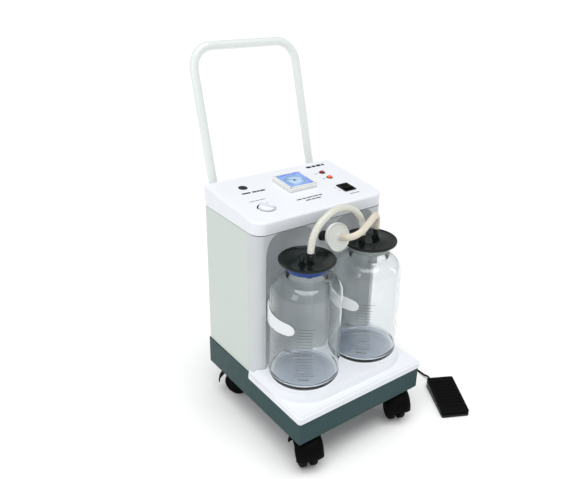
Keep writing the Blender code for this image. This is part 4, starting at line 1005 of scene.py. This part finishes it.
def coil_points(start, turns, step):
    """Turns of cord lying on the floor, three side by side, then a second and a third layer over them."""
    pitch = 2 * CORD_RADIUS + 0.0002
    points = []
    count = round(turns * math.tau * COIL_RADIUS / step)
    for i in range(count + 1):
        turn = turns * i / count
        whole = min(int(turn), COIL_TRACKS ** 2 - 1)
        layer, track = divmod(whole, COIL_TRACKS)
        part = turn - whole
        next_layer, next_track = divmod(min(whole + 1, COIL_TRACKS ** 2 - 1), COIL_TRACKS)
        ease = min(1.0, max(0.0, (part - 1 + COIL_CROSSING) / COIL_CROSSING))
        side = -1 if layer % 2 else 1
        next_side = -1 if next_layer % 2 else 1
        radius = COIL_RADIUS + pitch * (side * (1 - track) * (1 - ease) + next_side * (1 - next_track) * ease)
        height = CORD_RADIUS + 0.0005 + pitch * (layer * (1 - ease) + next_layer * ease)
        a = start - math.tau * turn
        points.append(COIL + Vector((radius * math.cos(a), radius * math.sin(a), height)))
    return points


def build_cord():
    """From the rear socket down to the floor, round the coil and along the floor to the foot switch."""
    low = CORD_RADIUS + 0.0002
    turn = Matrix.Rotation(SWITCH_TURN, 4, "Z")
    gland = SWITCH_PLACE + turn @ Vector((-0.020, SWITCH_LENGTH / 2 + 0.0150, 0.0085))
    out = turn @ Vector((0, 1, 0))
    x, y, z = JACK
    drop = [(x, y + 0.0062, z), (x, y + 0.020, z - 0.002), (x + 0.001, y + 0.036, z - 0.020),
            (x + 0.003, y + 0.044, z - 0.060),
            (x + 0.006, y + 0.047, z - 0.110), (x + 0.008, y + 0.050, 0.030), (x + 0.0095, y + 0.060, 0.0100)]
    run = [(0.1995, 0.2340, 0.0070), (0.2110, 0.2060, low), (0.226, 0.161, low), (0.250, 0.096, low),
           (0.270, 0.016, low), (0.2765, -0.050, low),
           (0.2795, -0.092, low), (0.2775, -0.119, 0.0045), tuple(gland + out * 0.010 + Vector((0, 0, -0.0006))),
           tuple(gland)]
    ends = route_length(smooth_route(drop, 0.006)) + route_length(smooth_route(run, 0.006))
    turns = round((CORD_LENGTH - ends - 0.10) / (math.tau * COIL_RADIUS) - 0.4) + 0.4
    ring = coil_points(math.radians(190), turns, 0.004)
    points = smooth_route(drop + [tuple(ring[0])], 0.006)[:-1] + ring + smooth_route([tuple(ring[-1])] + run,
                                                                                     0.005)[1:]
    points = [Vector((p.x, p.y, max(p.z, low))) for p in points]
    lead = tube("foot_switch_cord", points, CORD_RADIUS, CORD_BLACK, "frame",
                ["foot_cord_drop", "foot_cord_run", "foot_cord_coil"], 4)


# Floor, light and camera


SUN_STRENGTH = 1.95
SUN_ANGLE = math.radians(50)  # a wide sun, for soft shadows
WORLD_STRENGTH = 0.45
FLOOR_GLOW = 0.06


def build_stage():
    floor = bpy.data.objects.new("floor", bpy.data.meshes.new("floor"))
    bm = box(-400, 400, -400, 400, -0.02, -0.0002)
    bm.to_mesh(floor.data)
    bm.free()
    bpy.context.scene.collection.objects.link(floor)
    pale = finish("floor_pale", (0.92, 0.92, 0.92), 0.9, 0.005, 60.0, 0.00002, 2.0)
    shader = pale.node_tree.nodes["Principled BSDF"]
    shader.inputs["Emission Color"].default_value = (1, 1, 1, 1)
    shader.inputs["Emission Strength"].default_value = FLOOR_GLOW
    shader.inputs["Specular IOR Level"].default_value = 0.0
    floor.data.materials.append(pale)
    world = bpy.data.worlds.new("studio")
    bpy.context.scene.world = world
    world.use_nodes = True
    world.node_tree.nodes["Background"].inputs["Color"].default_value = (0.98, 0.99, 1.0, 1.0)
    world.node_tree.nodes["Background"].inputs["Strength"].default_value = WORLD_STRENGTH
    sun = bpy.data.lights.new("overhead", "SUN")
    sun.energy = SUN_STRENGTH
    sun.angle = SUN_ANGLE
    high = bpy.data.objects.new("overhead", sun)
    bpy.context.scene.collection.objects.link(high)
    high.rotation_euler = Vector((0.10, 0.14, -1.0)).to_track_quat("-Z", "Y").to_euler()
    add_light("window", (-2.2, -0.6, 1.6), (0, 0, 0.3), 0.8, 1.4, 9)
    add_light("side_strip", (1.6, -0.9, 1.0), (0, 0, 0.3), 0.25, 1.2, 2)


def add_light(name, place, target, width, height, power):
    light = bpy.data.lights.new(name, "AREA")
    light.shape = "RECTANGLE"
    light.size, light.size_y = width, height
    light.energy = power
    obj = bpy.data.objects.new(name, light)
    bpy.context.scene.collection.objects.link(obj)
    obj.location = place
    obj.rotation_euler = (Vector(target) - Vector(place)).to_track_quat("-Z", "Y").to_euler()


def build_camera():
    camera = bpy.data.cameras.new("camera")
    camera.lens = CAMERA_LENS
    camera.shift_x = CAMERA_SHIFT
    camera.clip_start = 0.05
    obj = bpy.data.objects.new("camera", camera)
    bpy.context.scene.collection.objects.link(obj)
    axes = Matrix((CAMERA_RIGHT, CAMERA_UP, -CAMERA_FORWARD)).transposed().to_4x4()
    obj.matrix_world = Matrix.Translation(ORIGIN + CAMERA_PLACE) @ axes
    bpy.context.scene.camera = obj


dress_cad_nodes()
build_cover()
build_front_panel()
build_prints()
build_gauge()
build_knob()
build_lamps()
build_rocker()
build_jars()
build_lids()
build_tubes()
build_filter()
build_handle()
build_castors()
build_foot_switch()
build_cord()
build_stage()
build_camera()
